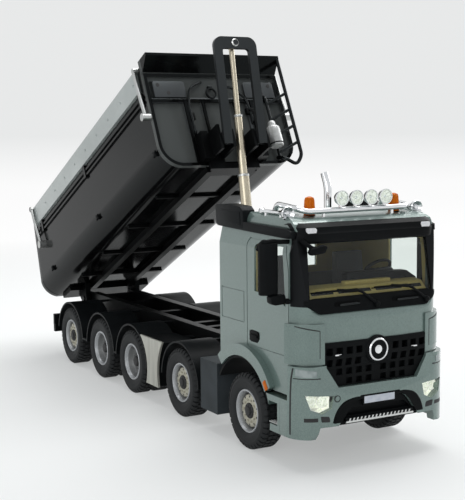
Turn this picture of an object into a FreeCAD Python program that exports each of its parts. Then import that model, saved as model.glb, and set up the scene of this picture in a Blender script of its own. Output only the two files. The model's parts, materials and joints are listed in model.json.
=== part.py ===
import FreeCAD
import Part
import Sketcher
import math
import os
import re

# Five-axle tipper truck, a 1:50 scale model. Millimetres, +X forward, +Y left, +Z up.
# Shapes are drawn with the front axle at x = 0 and the bed lowered on its rails; a placement
# then moves them so that x = 0 is the middle of the model, and tips the bed to its angle.

SIZES = {
    # Axles, from the front one backwards, and the height of the load bed's tilt
    "gap_one_two": 40.7, "gap_two_three": 36.5, "gap_three_four": 27.0, "gap_four_five": 29.2,
    "bed_tilt": 26,
    # Tyres and rims
    "tyre_radius": 10.6, "tyre_width": 6.6, "twin_width": 5.4, "twin_gap": 1.0, "tyre_shoulder": 0.8,
    "track_half": 24.4, "rim_radius": 6.1, "rim_lip": 0.55, "rim_dish": 1.3, "hub_radius": 2.1,
    "stub_radius": 1.0, "play": 0.05, "seat_gap": 0.1,
    # Steering
    "kingpin_in": 7.2, "kingpin_radius": 0.8, "knuckle_radius": 1.6, "knuckle_height": 3.6,
    "beam_half_height": 1.3, "beam_half_width": 1.5, "housing_radius": 2.1, "diff_radius": 4.6,
    # Chassis frame
    "rail_out": 9.2, "rail_web": 0.9, "rail_flange": 3.0, "rail_top": 24.1, "rail_depth": 7.0,
    "rail_front": 17.0, "cross_length": 2.6, "cross_drop": 1.2,
    "hinge_x": -151.5, "hinge_z": 21.5, "hinge_pin": 1.1, "hinge_boss": 2.6, "ear_wall": 2.0,
    "ear_gap": 0.4, "spring_length": 20.0, "spring_width": 1.8, "spring_depth": 1.6,
    # Lifting cylinder, its yoke and where they stand
    "pivot_x": -32.5, "pivot_z": 16.0, "pivot_pin": 1.0, "barrel_radius": 2.1, "barrel_length": 40.0,
    "stage_wall": 0.35, "collar_step": 1.0, "rod_radius": 0.85, "rod_head": 2.4,
    "closed_reach": 46.5,
    "foot_x": -27.0, "foot_z": 30.8, "eye_x": -19.8, "eye_z": 60.3, "yoke_half": 7.6,
    "yoke_leg": 2.9, "yoke_plate": 1.2, "yoke_crown": 1.9, "yoke_pin": 0.8, "eye_gap": 0.7,
    # Cab body
    "cab_back": -16.5, "cab_tuck": 1.4, "cab_wall": 1.1, "cab_sill": 19.0, "back_sill": 21.5,
    "cab_back_top": 61.0, "roof_back": 63.8, "roof_front": 65.2, "roof_lean": 1.2, "shoulder_z": 56.0,
    "brow_x": 21.4, "brow_z": 63.4, "screen_head_x": 22.7, "screen_head_z": 61.0,
    "screen_foot_x": 25.5, "screen_foot_z": 41.2, "nose_x": 27.0, "nose_z": 38.6,
    "chin_x": 26.2, "chin_z": 26.8, "corner_x": 20.6, "corner_in": 6.0, "corner_radius": 7.2,
    "glass": 0.5, "glass_inset": 0.25, "screen_in": 3.4, "screen_low": 43.0, "screen_high": 58.8,
    "window_back": 3.0, "window_front": 18.2, "window_low": 43.4, "window_high": 57.2,
    "groove": 0.28, "groove_depth": 0.25, "door_back": -1.1, "door_front": 20.5, "door_low": 29.0,
    "door_high": 58.6, "hatch_back": -15.4, "hatch_front": -2.6, "hatch_low": 34.8, "hatch_high": 43.6,
    "cab_floor": 26.0,
    # Wheel flare, its arch and the liner inside it
    "flare_x": -2.2, "flare_radius": 18.4, "flare_band": 3.2, "flare_stand": 1.8,
    "liner_wall": 0.8, "liner_stand": 1.2,
    # Bumper and steps
    "bumper_x": 28.9, "bumper_low": 8.4, "bumper_top": 21.2, "bumper_back": 17.9,
    "bumper_wall": 2.4, "bumper_radius": 7.0, "bumper_bow": 1.0, "step_back": 9.8, "step_top": 18.1,
    "step_depth": 6.5, "lamp_edge": 2.5, "lamp_width": 7.7, "lamp_low": 14.9, "lamp_high": 20.0,
    # Grille
    "grille_in": 7.0, "grille_top": 33.0, "grille_waist": 26.7, "grille_low": 21.4,
    "grille_taper": 3.4, "badge_z": 30.1, "badge_radius": 2.85,
    # Fenders
    "fender_radius": 12.2, "fender_wall": 0.6, "fender_width": 11.9, "fender_stand": 0.1,
    # Load bed, measured as it lies on the rails
    "bed_front": -36.4, "bed_wall": 1.1, "bed_floor": 26.3, "bed_top": 61.4,
    "bed_round": 7.5, "bed_tail_top": -155.0, "bed_tail_low": -160.0, "sill_drop": 1.9, "sill_half": 1.2,
    "gate_wall": 2.2, "canopy_reach": 5.2, "canopy_rise": 2.1, "canopy_drop": 3.0,
    "cover_drop": 7.8, "cover_stand": 0.9, "cover_front": -39.7, "cover_back": -152.0,
    "gate_lug": 1.1, "gate_pin": 0.6, "gate_lift": 0.9, "gate_gap": 0.25,
}

# Places worked out from the sizes above
WORKED = {
    "axle_two": "-gap_one_two",
    "axle_three": "axle_two - gap_two_three",
    "axle_four": "axle_three - gap_three_four",
    "axle_five": "axle_four - gap_four_five",
    "rail_low": "rail_top - rail_depth",
    "cab_half": "track_half - cab_tuck",
    "corner_y": "cab_half - corner_in",
    "screen_half": "cab_half - screen_in",
    "bumper_half": "track_half",
    "lamp_out": "bumper_half - lamp_edge",
    "lamp_in": "lamp_out - lamp_width",
    "grille_half": "cab_half - grille_in",
    "grille_low_half": "grille_half - grille_taper",
    "bed_half": "track_half",
    "fender_out": "track_half + fender_stand",
    "fender_in": "fender_out - fender_width",
    "canopy_top": "bed_top + canopy_rise",
    "canopy_foot": "bed_top - canopy_drop",
    "cover_low": "bed_top - cover_drop",
    "kingpin_y": "track_half - kingpin_in",
    "lean_cos": "cos(bed_tilt * 1deg)",
    "lean_sin": "sin(bed_tilt * 1deg)",
    "gate_top_x": "bed_tail_top - gate_wall",
    "gate_low_x": "bed_tail_low - gate_wall",
    "gate_pin_x": "bed_tail_top - gate_wall / 2",
    "gate_pin_z": "bed_top + gate_lift",
    "tail_reach": "hinge_x + (gate_pin_x - hinge_x) * lean_cos - (gate_pin_z - hinge_z) * lean_sin - gate_lug",
    "middle_x": "(bumper_x + tail_reach) / 2",
    "eye_now_x": "hinge_x + (eye_x - hinge_x) * lean_cos - (eye_z - hinge_z) * lean_sin",
    "eye_now_z": "hinge_z + (eye_x - hinge_x) * lean_sin + (eye_z - hinge_z) * lean_cos",
    "ram_lean": "atan((pivot_x - eye_now_x) / (eye_now_z - pivot_z)) / 1deg",
    "ram_reach": "sqrt((pivot_x - eye_now_x)^2 + (eye_now_z - pivot_z)^2)",
    "stage_out": "(ram_reach - closed_reach) / 3",
    "yoke_lean": "atan((eye_x - foot_x) / (eye_z - foot_z)) / 1deg",
    "yoke_length": "sqrt((eye_x - foot_x)^2 + (eye_z - foot_z)^2)",
}

doc = FreeCAD.newDocument("tipper")
NODES = {}


def make_sheet(title, values):
    sheet = doc.addObject("Spreadsheet::Sheet", title)
    for row, (word, value) in enumerate(values.items(), start=1):
        sheet.set(f"A{row}", word)
        sheet.set(f"B{row}", f"={linked(value)}" if isinstance(value, str) else str(value))
        sheet.setAlias(f"B{row}", word)
    doc.recompute()
    return sheet


def linked(text):
    """The same expression, with each named size pointing at its cell."""
    def cell(match):
        word = match.group(0)
        if word in SIZES:
            return "Sizes." + word
        return "Worked." + word if word in WORKED else word
    return re.sub(r"[a-z_]+", cell, text)


sizes = make_sheet("Sizes", SIZES)
worked = make_sheet("Worked", WORKED)


def value(text):
    result = sizes.evalExpression(linked(text))
    return float(getattr(result, "Value", result))


def bind(thing, field, text):
    thing.setExpression(field, linked(text))


def origin_part(body, role):
    return next(item for item in body.Origin.OriginFeatures if item.Role == role)


def arc_between(start, end, radius):
    """An arc from start to end that turns left for a positive radius, right for a negative one."""
    size = abs(radius)
    across, up = end[0] - start[0], end[1] - start[1]
    chord = math.hypot(across, up)
    rise = math.sqrt(max(size * size - chord * chord / 4, 0)) * (1 if radius > 0 else -1)
    centre_x = (start[0] + end[0]) / 2 - up / chord * rise
    centre_y = (start[1] + end[1]) / 2 + across / chord * rise
    first, last = (start, end) if radius > 0 else (end, start)
    circle = Part.Circle(FreeCAD.Vector(centre_x, centre_y, 0), FreeCAD.Vector(0, 0, 1), size)
    return Part.ArcOfCircle(
        circle,
        math.atan2(first[1] - centre_y, first[0] - centre_x),
        math.atan2(last[1] - centre_y, last[0] - centre_x),
    )


def draw_loop(sketch, loop):
    """Draw one closed loop: a circle (across, up, radius), or corners that the sheet holds.

    A third entry on a corner is the radius of the arc that arrives at it.
    """
    if loop[0] == "circle":
        across, up, radius = (value(text) for text in loop[1:])
        circle = Part.Circle(FreeCAD.Vector(across, up, 0), FreeCAD.Vector(0, 0, 1), radius)
        edge = sketch.addGeometry(circle, False)
        rules = (("DistanceX", -1, 1, edge, 3), ("DistanceY", -1, 1, edge, 3), ("Radius", edge))
        for rule, text in zip(rules, loop[1:]):
            number = sketch.addConstraint(Sketcher.Constraint(*rule, value(text)))
            bind(sketch, f"Constraints[{number}]", text)
        return
    corners = [(value(corner[0]), value(corner[1])) for corner in loop]
    ends = []
    for index, corner in enumerate(loop):
        start, end = corners[index - 1], corners[index]
        if len(corner) == 3:
            radius = value(corner[2])
            edge = sketch.addGeometry(arc_between(start, end, radius), False)
            ends.append((edge, 1, 2) if radius > 0 else (edge, 2, 1))
            number = sketch.addConstraint(Sketcher.Constraint("Radius", edge, abs(radius)))
            bind(sketch, f"Constraints[{number}]", f"abs({corner[2]})")
        else:
            line = Part.LineSegment(FreeCAD.Vector(*start, 0), FreeCAD.Vector(*end, 0))
            ends.append((sketch.addGeometry(line, False), 1, 2))
    for index, corner in enumerate(loop):
        edge, _, tip = ends[index]
        following, foot, _ = ends[(index + 1) % len(loop)]
        sketch.addConstraint(Sketcher.Constraint("Coincident", edge, tip, following, foot))
        for rule, text in (("DistanceX", corner[0]), ("DistanceY", corner[1])):
            number = sketch.addConstraint(Sketcher.Constraint(rule, -1, 1, edge, tip, value(text)))
            bind(sketch, f"Constraints[{number}]", text)


def outline(body, role, loops, height):
    sketch = body.newObject("Sketcher::SketchObject", body.Name + "_outline")
    sketch.AttachmentSupport = (origin_part(body, role), "")
    sketch.MapMode = "FlatFace"
    bind(sketch, "AttachmentOffset.Base.z", height)
    for loop in loops:
        draw_loop(sketch, loop)
    return sketch


def prism(name, role, loops, low, high):
    """A body padded from one or more loops, from low to high along the plane's world axis."""
    body = doc.addObject("PartDesign::Body", name)
    start = f"-({high})" if role == "XZ_Plane" else low
    pad = body.newObject("PartDesign::Pad", body.Name + "_pad")
    pad.Profile = outline(body, role, loops, start)
    bind(pad, "Length", f"({high}) - ({low})")
    body.Tip = pad
    return body


def turned(name, loop):
    """A body turned about its own Y axis from a loop of (radius, y) corners."""
    body = doc.addObject("PartDesign::Body", name)
    turn = body.newObject("PartDesign::Revolution", "Turn")
    turn.Profile = outline(body, "XY_Plane", [loop], "0")
    turn.ReferenceAxis = (origin_part(body, "Y_Axis"), [""])
    turn.Angle = 360
    body.Tip = turn
    return body


def block(name, low, high):
    """A plain box between two corners."""
    box = doc.addObject("Part::Box", name)
    for field, first, last in zip(("Length", "Width", "Height"), low, high):
        bind(box, field, f"({last}) - ({first})")
    place(box, *low)
    return box


def rod(name, start, length, radius, axis="Z"):
    """A cylinder from a start point along X, Y or Z."""
    bar = doc.addObject("Part::Cylinder", name)
    bind(bar, "Radius", radius)
    bind(bar, "Height", length)
    if axis != "Z":
        turn = FreeCAD.Vector(0, 1, 0) if axis == "X" else FreeCAD.Vector(-1, 0, 0)
        bar.Placement = FreeCAD.Placement(FreeCAD.Vector(), FreeCAD.Rotation(turn, 90))
    place(bar, *start)
    return bar


def place(thing, across="0", along="0", up="0"):
    for field, text in zip("xyz", (across, along, up)):
        bind(thing, "Placement.Base." + field, text)
    return thing


def cut(name, base, *tools):
    result = doc.addObject("Part::Cut", name)
    result.Base = base
    result.Tool = tools[0] if len(tools) == 1 else fuse(name + "_tools", *tools)
    return result


def fuse(name, *pieces):
    result = doc.addObject("Part::MultiFuse", name)
    result.Shapes = list(pieces)
    return result


def common(name, *pieces):
    result = doc.addObject("Part::MultiCommon", name)
    result.Shapes = list(pieces)
    return result


def group(name, *pieces):
    result = doc.addObject("Part::Compound", name)
    result.Links = list(pieces)
    return result


def mirror(name, piece):
    """The same piece on the truck's other side."""
    result = doc.addObject("Part::Mirroring", name)
    result.Source = piece
    result.Normal = FreeCAD.Vector(0, 1, 0)
    return result


def both_sides(name, piece):
    return group(name, piece, mirror(name + "_twin", piece))


def turn_to(thing, angle, across, along, up):
    """Tip a piece about the axis that runs to the truck's right, and set it down."""
    bind(thing, "Placement.Rotation.Angle", f"({angle}) * 1deg")
    for field, number in zip("xyz", (0, -1, 0)):
        bind(thing, "Placement.Rotation.Axis." + field, str(number))
    place(thing, across, along, up)


def node(name, piece, carried_by="chassis"):
    """Name a finished piece and set it in the model's own frame."""
    if carried_by == "chassis":
        place(piece, "-middle_x")
    elif carried_by == "bed":
        turn_to(
            piece, "bed_tilt",
            "hinge_x - hinge_x * lean_cos + hinge_z * lean_sin - middle_x", "0",
            "hinge_z - hinge_x * lean_sin - hinge_z * lean_cos",
        )
    piece.Label = name
    NODES[name] = piece


def ring(name, centre, inner, outer, sweep, low, high):
    """A curved sheet about a point of the side view, between two angles in degrees."""
    across, up = centre
    first, last = (f"({angle}) * 1deg" for angle in sweep)
    corners = [
        (f"{across} + ({outer}) * cos({first})", f"{up} + ({outer}) * sin({first})"),
        (f"{across} + ({outer}) * cos({last})", f"{up} + ({outer}) * sin({last})", outer),
        (f"{across} + ({inner}) * cos({last})", f"{up} + ({inner}) * sin({last})"),
        (f"{across} + ({inner}) * cos({first})", f"{up} + ({inner}) * sin({first})", f"-({inner})"),
    ]
    return prism(name, "XZ_Plane", [corners], low, high)


# The lifting cylinder's cradle: two cheeks between the rails that hold its lower pin.
def cradle():
    web_in = "rail_out - rail_web"
    cheek_in = "barrel_radius + play * 4"
    cheek = block("cradle_cheek", ("pivot_x - 2.3", cheek_in, "pivot_z - 2.3"),
                  ("pivot_x + 2.3", f"{cheek_in} + 1.4", "rail_low + rail_web + 2.4"))
    beam = block("cradle_beam", ("pivot_x - 2.3", f"{cheek_in} + 1.4", "rail_low + rail_web"),
                 ("pivot_x + 2.3", web_in, "rail_low + rail_web + 2.4"))
    side = fuse("cradle_side", cheek, beam)
    pin = rod("cradle_pin", ("pivot_x", f"-({cheek_in})", "pivot_z"), f"({cheek_in}) * 2", "pivot_pin", "Y")
    return fuse("cradle_all", side, mirror("cradle_other", side), pin)


# Chassis frame: two channel rails joined by cross members, with a round boss and a pin at the
# tail of each rail for the tipping hinge.
def chassis_frame():
    web_in = "rail_out - rail_web"
    lip = "rail_out - rail_flange"
    channel = [
        ("rail_out", "rail_low"), ("rail_out", "rail_top"), (lip, "rail_top"),
        (lip, "rail_top - rail_web"), (web_in, "rail_top - rail_web"),
        (web_in, "rail_low + rail_web"), (lip, "rail_low + rail_web"), (lip, "rail_low"),
    ]
    rail = prism("rail", "YZ_Plane", [channel], "hinge_x + hinge_boss", "rail_front")
    tongue = block(
        "rail_tongue", ("hinge_x", web_in, "hinge_z - hinge_boss"),
        ("hinge_x + hinge_boss * 2", "rail_out", "rail_top"),
    )
    boss = rod("rail_boss", ("hinge_x", web_in, "hinge_z"), "rail_web", "hinge_boss", "Y")
    pin = rod("tipping_pin", ("hinge_x", web_in, "hinge_z"),
              "rail_web + ear_gap + ear_wall + 0.4", "hinge_pin", "Y")
    side = fuse("rail_side", rail, tongue, boss, pin)
    spots = (
        "rail_front - cross_length", "axle_two + 14", "axle_two - 15", "(axle_two + axle_three) / 2 - 4",
        "axle_three + 5", "axle_four + 5", "axle_five + 7", "hinge_x + hinge_boss",
    )
    crosses = [
        block(f"cross_{number}", (spot, f"-({web_in})", "rail_low + cross_drop"),
              (f"{spot} + cross_length", web_in, "rail_top - cross_drop"))
        for number, spot in enumerate(spots)
    ]
    node("chassis_frame", fuse("frame_all", side, mirror("rail_other", side), cradle(), *crosses))


# Steered axles: a forged beam with a fork at each end, where the kingpin holds the knuckle.
def steered_beam(number, axle):
    reach = "kingpin_y + knuckle_radius"
    bar = block(f"beam_bar_{number}",
                (f"{axle} - beam_half_width", f"-(kingpin_y - knuckle_radius - seat_gap)",
                 "tyre_radius - beam_half_height"),
                (f"{axle} + beam_half_width", "kingpin_y - knuckle_radius - seat_gap",
                 "tyre_radius + beam_half_height"))
    arms = []
    for side, low, high in (
        ("top", "tyre_radius + knuckle_height / 2 + seat_gap", "tyre_radius + knuckle_height / 2 + 1.0"),
        ("low", "tyre_radius - knuckle_height / 2 - 1.0", "tyre_radius - knuckle_height / 2 - seat_gap"),
    ):
        arm = block(f"fork_{side}_{number}",
                    (f"{axle} - beam_half_width", "kingpin_y - knuckle_radius * 2 - seat_gap", low),
                    (f"{axle} + beam_half_width", reach, high))
        arms.append(arm)
    heel = block(f"fork_heel_{number}",
                 (f"{axle} - beam_half_width", "kingpin_y - knuckle_radius * 2 - seat_gap",
                  "tyre_radius - knuckle_height / 2 - 1.0"),
                 (f"{axle} + beam_half_width", "kingpin_y - knuckle_radius - seat_gap",
                  "tyre_radius + knuckle_height / 2 + 1.0"))
    pin = rod(f"kingpin_{number}", (axle, "kingpin_y", "tyre_radius - knuckle_height / 2 - 0.5"),
              "knuckle_height + 1.0", "kingpin_radius")
    fork = fuse(f"fork_{number}", *arms, heel, pin)
    return fuse(f"beam_{number}", bar, fork, mirror(f"fork_other_{number}", fork))


def spring_pack(number, axle, seat):
    """A stack of leaves under the rail, clamped on the axle and hung at both ends."""
    stack = prism(
        f"leaves_{number}", "XZ_Plane",
        [[
            (f"{axle} - spring_length / 2", "rail_low"),
            (f"{axle} - spring_length / 2", "rail_low - spring_depth / 2"),
            (f"{axle}", f"{seat}"),
            (f"{axle} + spring_length / 2", "rail_low - spring_depth / 2"),
            (f"{axle} + spring_length / 2", "rail_low"),
            (f"{axle} + spring_length / 2 - 1.2", "rail_low"),
            (f"{axle}", f"{seat} + spring_depth"),
            (f"{axle} - spring_length / 2 + 1.2", "rail_low"),
        ]],
        "rail_out - spring_width", "rail_out",
    )
    return both_sides(f"spring_{number}", stack)


def axles():
    node("steered_axles", group("steered_beams", steered_beam(1, "0"), steered_beam(2, "axle_two")))
    housings = []
    for number, axle in ((3, "axle_three"), (4, "axle_four"), (5, "axle_five")):
        reach = "track_half - twin_width * 2 - twin_gap - 0.6"
        tube = rod(f"housing_tube_{number}", (axle, f"-({reach})", "tyre_radius"),
                   f"({reach}) * 2", "housing_radius", "Y")
        pieces = [tube]
        if number != 5:
            ball = doc.addObject("Part::Sphere", f"diff_{number}")
            bind(ball, "Radius", "diff_radius")
            pieces.append(place(ball, axle, "0", "tyre_radius"))
        solid = fuse(f"housing_solid_{number}", *pieces) if number != 5 else tube
        bore = rod(f"housing_bore_{number}", (axle, f"-({reach}) - 1", "tyre_radius"),
                   f"({reach}) * 2 + 2", "stub_radius + play", "Y")
        housings.append(cut(f"housing_{number}", solid, bore))
    long = rod("long_shaft", ("axle_three + 3.5", "0", "tyre_radius"),
               "axle_two - axle_three - beam_half_width - 5", "0.9", "X")
    short = rod("short_shaft", ("axle_four + 3.5", "0", "tyre_radius"), "gap_three_four - 7", "0.9", "X")
    node("axle_housings", fuse("housings", *housings, long, short))
    springs = [spring_pack(1, "0", "tyre_radius + beam_half_height"),
               spring_pack(2, "axle_two", "tyre_radius + beam_half_height")]
    for number, axle in ((3, "axle_three"), (4, "axle_four"), (5, "axle_five")):
        springs.append(spring_pack(number, axle, "tyre_radius + housing_radius"))
    node("spring_packs", group("springs", *springs))


# Knuckle: a sleeve on the kingpin with the stub axle that carries the wheel, and a steering arm.
def knuckle(number, side, axle):
    sign = "" if side == "l" else "-"
    sleeve = rod(f"sleeve_{number}{side}", (axle, "kingpin_y", "tyre_radius - knuckle_height / 2"),
                 "knuckle_height", "knuckle_radius")
    stub = rod(f"stub_{number}{side}", (axle, "kingpin_y + kingpin_radius + 0.4", "tyre_radius"),
               "kingpin_in - kingpin_radius - 0.4 - rim_dish - 1.1", "stub_radius", "Y")
    arm = block(f"arm_{number}{side}",
                (f"{axle} - 5.2", "kingpin_y - 0.7", "tyre_radius - 0.6"),
                (f"{axle} - kingpin_radius - 0.4", "kingpin_y + 0.7", "tyre_radius + 0.6"))
    bore = rod(f"sleeve_bore_{number}{side}", (axle, "kingpin_y", "tyre_radius - knuckle_height"),
               "knuckle_height * 2", "kingpin_radius + play")
    whole = cut(f"knuckle_{number}{side}_cut", fuse(f"knuckle_{number}{side}_solid", sleeve, stub, arm), bore)
    node(f"knuckle_{number}{side}", whole if not sign else mirror(f"knuckle_{number}{side}_twin", whole))


def tyre_loop(half, inner):
    """Half-width and bead radius of a tyre; its walls bulge and its shoulders are rounded."""
    top = "tyre_radius"
    return [
        (inner, f"-({half}) * 0.8"),
        (f"{top} - tyre_shoulder * 1.6", f"-({half})", "-9"),
        (top, f"-({half}) + tyre_shoulder", "-tyre_shoulder * 1.6"),
        (top, f"{half} - tyre_shoulder"),
        (f"{top} - tyre_shoulder * 1.6", half, "-tyre_shoulder * 1.6"),
        (inner, f"({half}) * 0.8", "-9"),
    ]


def single_rim_loop():
    """A wheel with a shallow dish, a raised hub cap and a blind bearing for the stub axle."""
    out = "tyre_width / 2 * 0.8"
    dish = f"{out} - rim_dish"
    return [
        ("0", f"{out} + 0.1"), ("hub_radius * 0.75", f"{out} + 0.1"), ("hub_radius", f"{out} - 0.4"),
        ("hub_radius", dish), ("rim_radius - 1.5", dish), ("rim_radius - rim_lip * 1.6", f"{out} - 0.1"),
        ("rim_radius - rim_lip * 0.6", f"{out} + 0.25"), ("rim_radius", f"{out}"),
        ("rim_radius", f"-({out})"), ("rim_radius - rim_lip", f"-({out})"),
        ("rim_radius - rim_lip", f"{dish} - 0.8"), ("stub_radius * 2", f"{dish} - 0.8"),
        ("stub_radius * 2", f"{dish} - 2.6"), ("stub_radius + play", f"{dish} - 2.6"),
        ("stub_radius + play", f"{dish} + 0.3"), ("0", f"{dish} + 0.3"),
    ]


def single_wheel(number, side, axle):
    middle = "track_half - tyre_width / 2"
    sign, spin = ("", 0) if side == "l" else ("-", 180)
    for name, loop in ((f"tyre_{number}{side}", tyre_loop("tyre_width / 2", "rim_radius")),
                       (f"rim_{number}{side}", single_rim_loop())):
        piece = turned(name + "_turned", loop)
        piece.Placement = FreeCAD.Placement(
            FreeCAD.Vector(), FreeCAD.Rotation(FreeCAD.Vector(0, 0, 1), spin))
        place(piece, f"{axle} - middle_x", f"{sign}({middle})", "tyre_radius")
        node(name, piece, "itself")


# Twin wheels: two tyres on one deep rim. Axle five has single tyres. Each pair sits on one shaft.
def twin_rim_loop():
    wide = "twin_width * 2 + twin_gap"
    dish = f"-({wide}) * 0.42"
    return [
        ("0", f"{dish} + 2.9"), ("hub_radius * 0.7", f"{dish} + 2.9"), ("hub_radius", f"{dish} + 2.3"),
        ("hub_radius", dish), ("rim_radius - 2.0", dish), ("rim_radius - 1.3", f"{dish} + 1.0"),
        ("rim_radius - rim_lip - 0.3", "-0.4"), ("rim_radius - rim_lip * 0.6", "0.2"),
        ("rim_radius", "0"), ("rim_radius", f"-({wide}) + 0.8"),
        ("rim_radius - rim_lip", f"-({wide}) + 0.8"), ("rim_radius - rim_lip", f"{dish} - 0.9"),
        ("0", f"{dish} - 0.9"),
    ]


def wheelset(number, axle):
    tyres, rims = [], []
    wide = "twin_width * 2 + twin_gap"
    for side, sign, spin in (("l", "", 0), ("r", "-", 180)):
        turn = FreeCAD.Rotation(FreeCAD.Vector(0, 0, 1), spin)
        if number == 5:
            spots = [("tyre_width / 2", "track_half - tyre_width / 2")]
            rim, rim_y = single_rim_loop(), "track_half - tyre_width / 2"
        else:
            spots = [("twin_width / 2", "track_half - twin_width / 2"),
                     ("twin_width / 2", "track_half - twin_width * 1.5 - twin_gap")]
            rim, rim_y = twin_rim_loop(), "track_half - 0.5"
        for place_number, (half, middle) in enumerate(spots):
            tyre = turned(f"tyre_{number}{side}_{place_number}", tyre_loop(half, "rim_radius"))
            tyre.Placement = FreeCAD.Placement(FreeCAD.Vector(), turn)
            tyres.append(place(tyre, axle, f"{sign}({middle})", "tyre_radius"))
        wheel = turned(f"wheel_{number}{side}", rim)
        wheel.Placement = FreeCAD.Placement(FreeCAD.Vector(), turn)
        rims.append(place(wheel, axle, f"{sign}({rim_y})", "tyre_radius"))
    reach = "track_half - tyre_width / 2 + 0.4" if number == 5 else f"track_half - ({wide}) * 0.42 - 1"
    shaft = rod(f"shaft_{number}", (axle, f"-({reach})", "tyre_radius"), f"({reach}) * 2", "stub_radius", "Y")
    node(f"tyres_{number}", group(f"tyre_group_{number}", *tyres))
    node(f"wheels_{number}", fuse(f"wheel_group_{number}", shaft, *rims))


# Engine and gearbox as one block between the rails.
def power():
    low = "tyre_radius + beam_half_height + 0.5"
    engine = block("engine", ("-9", "-5.8", low), ("13.5", "5.8", "rail_top"))
    gearbox = block("gearbox", ("-22", "-3.8", f"{low} + 1"), ("-9", "3.8", "rail_top - 1"))
    node("engine_block", fuse("engine_all", engine, gearbox))


# Cab skin: one solid of the outside form, drawn in toward its middle by an inset. The side view,
# the plan with its rounded front corners and the front view with its leaning shoulders are padded
# and the space that all three share is kept.
def cab_form(name, inset, foot):
    side = [
        (f"cab_back + {inset}", foot), (f"nose_x - 0.8 - {inset}", foot),
        (f"chin_x - {inset}", "chin_z"), (f"nose_x - {inset}", "badge_z"),
        (f"nose_x - {inset}", f"nose_z - {inset}"),
        (f"screen_foot_x - {inset}", "screen_foot_z"),
        (f"screen_head_x - {inset}", f"screen_head_z - {inset}"),
        (f"brow_x - {inset}", f"brow_z - {inset}"),
        (f"brow_x - 6", f"roof_front - {inset}", "14"),
        (f"cab_back + 4", f"roof_back + 0.6 - {inset}", "160"),
        (f"cab_back + {inset}", f"cab_back_top - {inset}", "5"),
    ]
    front = f"nose_x - 0.7 - {inset}"
    half = f"cab_half - {inset}"
    plan = [
        (f"cab_back + {inset}", f"-({half})"), ("corner_x", f"-({half})"),
        (front, "-corner_y", f"corner_radius - {inset}"),
        (front, "corner_y", "160"),
        ("corner_x", half, f"corner_radius - {inset}"), (f"cab_back + {inset}", half),
    ]
    top = "roof_front + 1.6"
    face = [
        (f"-({half})", foot), (half, foot), (half, "shoulder_z"),
        (f"{half} - roof_lean", f"roof_back - 2.4"),
        (f"{half} - roof_lean - 2.2", f"roof_back + 1.9 - {inset}", "3.2"),
        (f"0", f"{top} - {inset}", "320"),
        (f"-({half} - roof_lean - 2.2)", f"roof_back + 1.9 - {inset}", "320"),
        (f"-({half} - roof_lean)", f"roof_back - 2.4", "3.2"),
        (f"-({half})", "shoulder_z"),
    ]
    return common(
        name,
        prism(name + "_side", "XZ_Plane", [side], "-cab_half - 1", "cab_half + 1"),
        prism(name + "_plan", "XY_Plane", [plan], foot, "roof_front + 2"),
        prism(name + "_face", "YZ_Plane", [face], "cab_back - 1", "nose_x + 1"),
    )


def window_loops(shrink):
    side = [
        (f"window_back + {shrink}", f"window_low + 0.8 + {shrink}"),
        (f"window_front - 4.5", f"window_low + 0.8 + {shrink}"),
        (f"window_front + 0.6 - {shrink}", f"window_low - 1.4 + {shrink}"),
        (f"window_front - 0.8 - {shrink}", f"window_high + 0.2 - {shrink}"),
        (f"window_back + 1.5", f"window_high - {shrink}"),
        (f"window_back + {shrink}", f"window_high - 1.5", "1.6"),
    ]
    screen = [
        (f"-(screen_half - {shrink})", f"screen_low + {shrink}"),
        (f"screen_half - {shrink}", f"screen_low + {shrink}"),
        (f"screen_half - 0.5 - {shrink}", f"screen_high - {shrink}"),
        (f"-(screen_half - 0.5 - {shrink})", f"screen_high - {shrink}"),
    ]
    back = [
        (f"-(cab_half * 0.4 - {shrink})", f"window_low + 4 + {shrink}"),
        (f"cab_half * 0.4 - {shrink}", f"window_low + 4 + {shrink}"),
        (f"cab_half * 0.4 - {shrink}", f"window_high - 2 - {shrink}"),
        (f"-(cab_half * 0.4 - {shrink})", f"window_high - 2 - {shrink}"),
    ]
    return side, screen, back


def window_tools(name, shrink):
    side, screen, back = window_loops(shrink)
    return (
        prism(name + "_doors", "XZ_Plane", [side], "-cab_half - 2", "cab_half + 2"),
        prism(name + "_screen", "YZ_Plane", [screen], "brow_x - 5", "nose_x + 2"),
        prism(name + "_back", "YZ_Plane", [back], "cab_back - 2", "cab_back + 3"),
    )


def grille_loop(grow):
    half, low_half = f"grille_half + {grow}", f"grille_low_half + {grow}"
    return [
        (f"-({half})", f"grille_top + {grow}"), (f"-({half})", "grille_waist"),
        (f"-({low_half})", f"grille_low - {grow}"), (low_half, f"grille_low - {grow}"),
        (half, "grille_waist"), (half, f"grille_top + {grow}"),
    ]


def cab_shell():
    outer = cab_form("cab_outer", "0", "cab_sill")
    hollow = cab_form("cab_hollow", "cab_wall", "cab_sill - 1")
    arch = rod("cab_arch", ("flare_x", "-cab_half - 2", "tyre_radius"), "cab_half * 2 + 4",
               "flare_radius - flare_band", "Y")
    rear_low = block("cab_rear_low", ("cab_back - 1", "-cab_half - 1", "cab_sill - 1"),
                     ("flare_x - 8", "cab_half + 1", "back_sill"))
    mouth = prism("grille_mouth", "YZ_Plane", [grille_loop("play")], "chin_x - 4", "nose_x + 3")
    saddle = block("cab_saddle", ("cab_back - 1", "-rail_out - 0.3", "cab_sill - 1"),
                   ("cab_back + 3", "rail_out + 0.3", "rail_top + 0.2"))
    lamp = prism("cab_lamp_mouth", "YZ_Plane", [lamp_loop("-0.3")], "bumper_back", "nose_x + 2")
    shell = cut("cab_cut", outer, hollow, arch, rear_low, mouth, saddle, lamp,
                mirror("cab_lamp_mouth_twin", lamp), *window_tools("cut_windows", "0"), cab_seams())
    node("cab_shell", shell)


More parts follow.
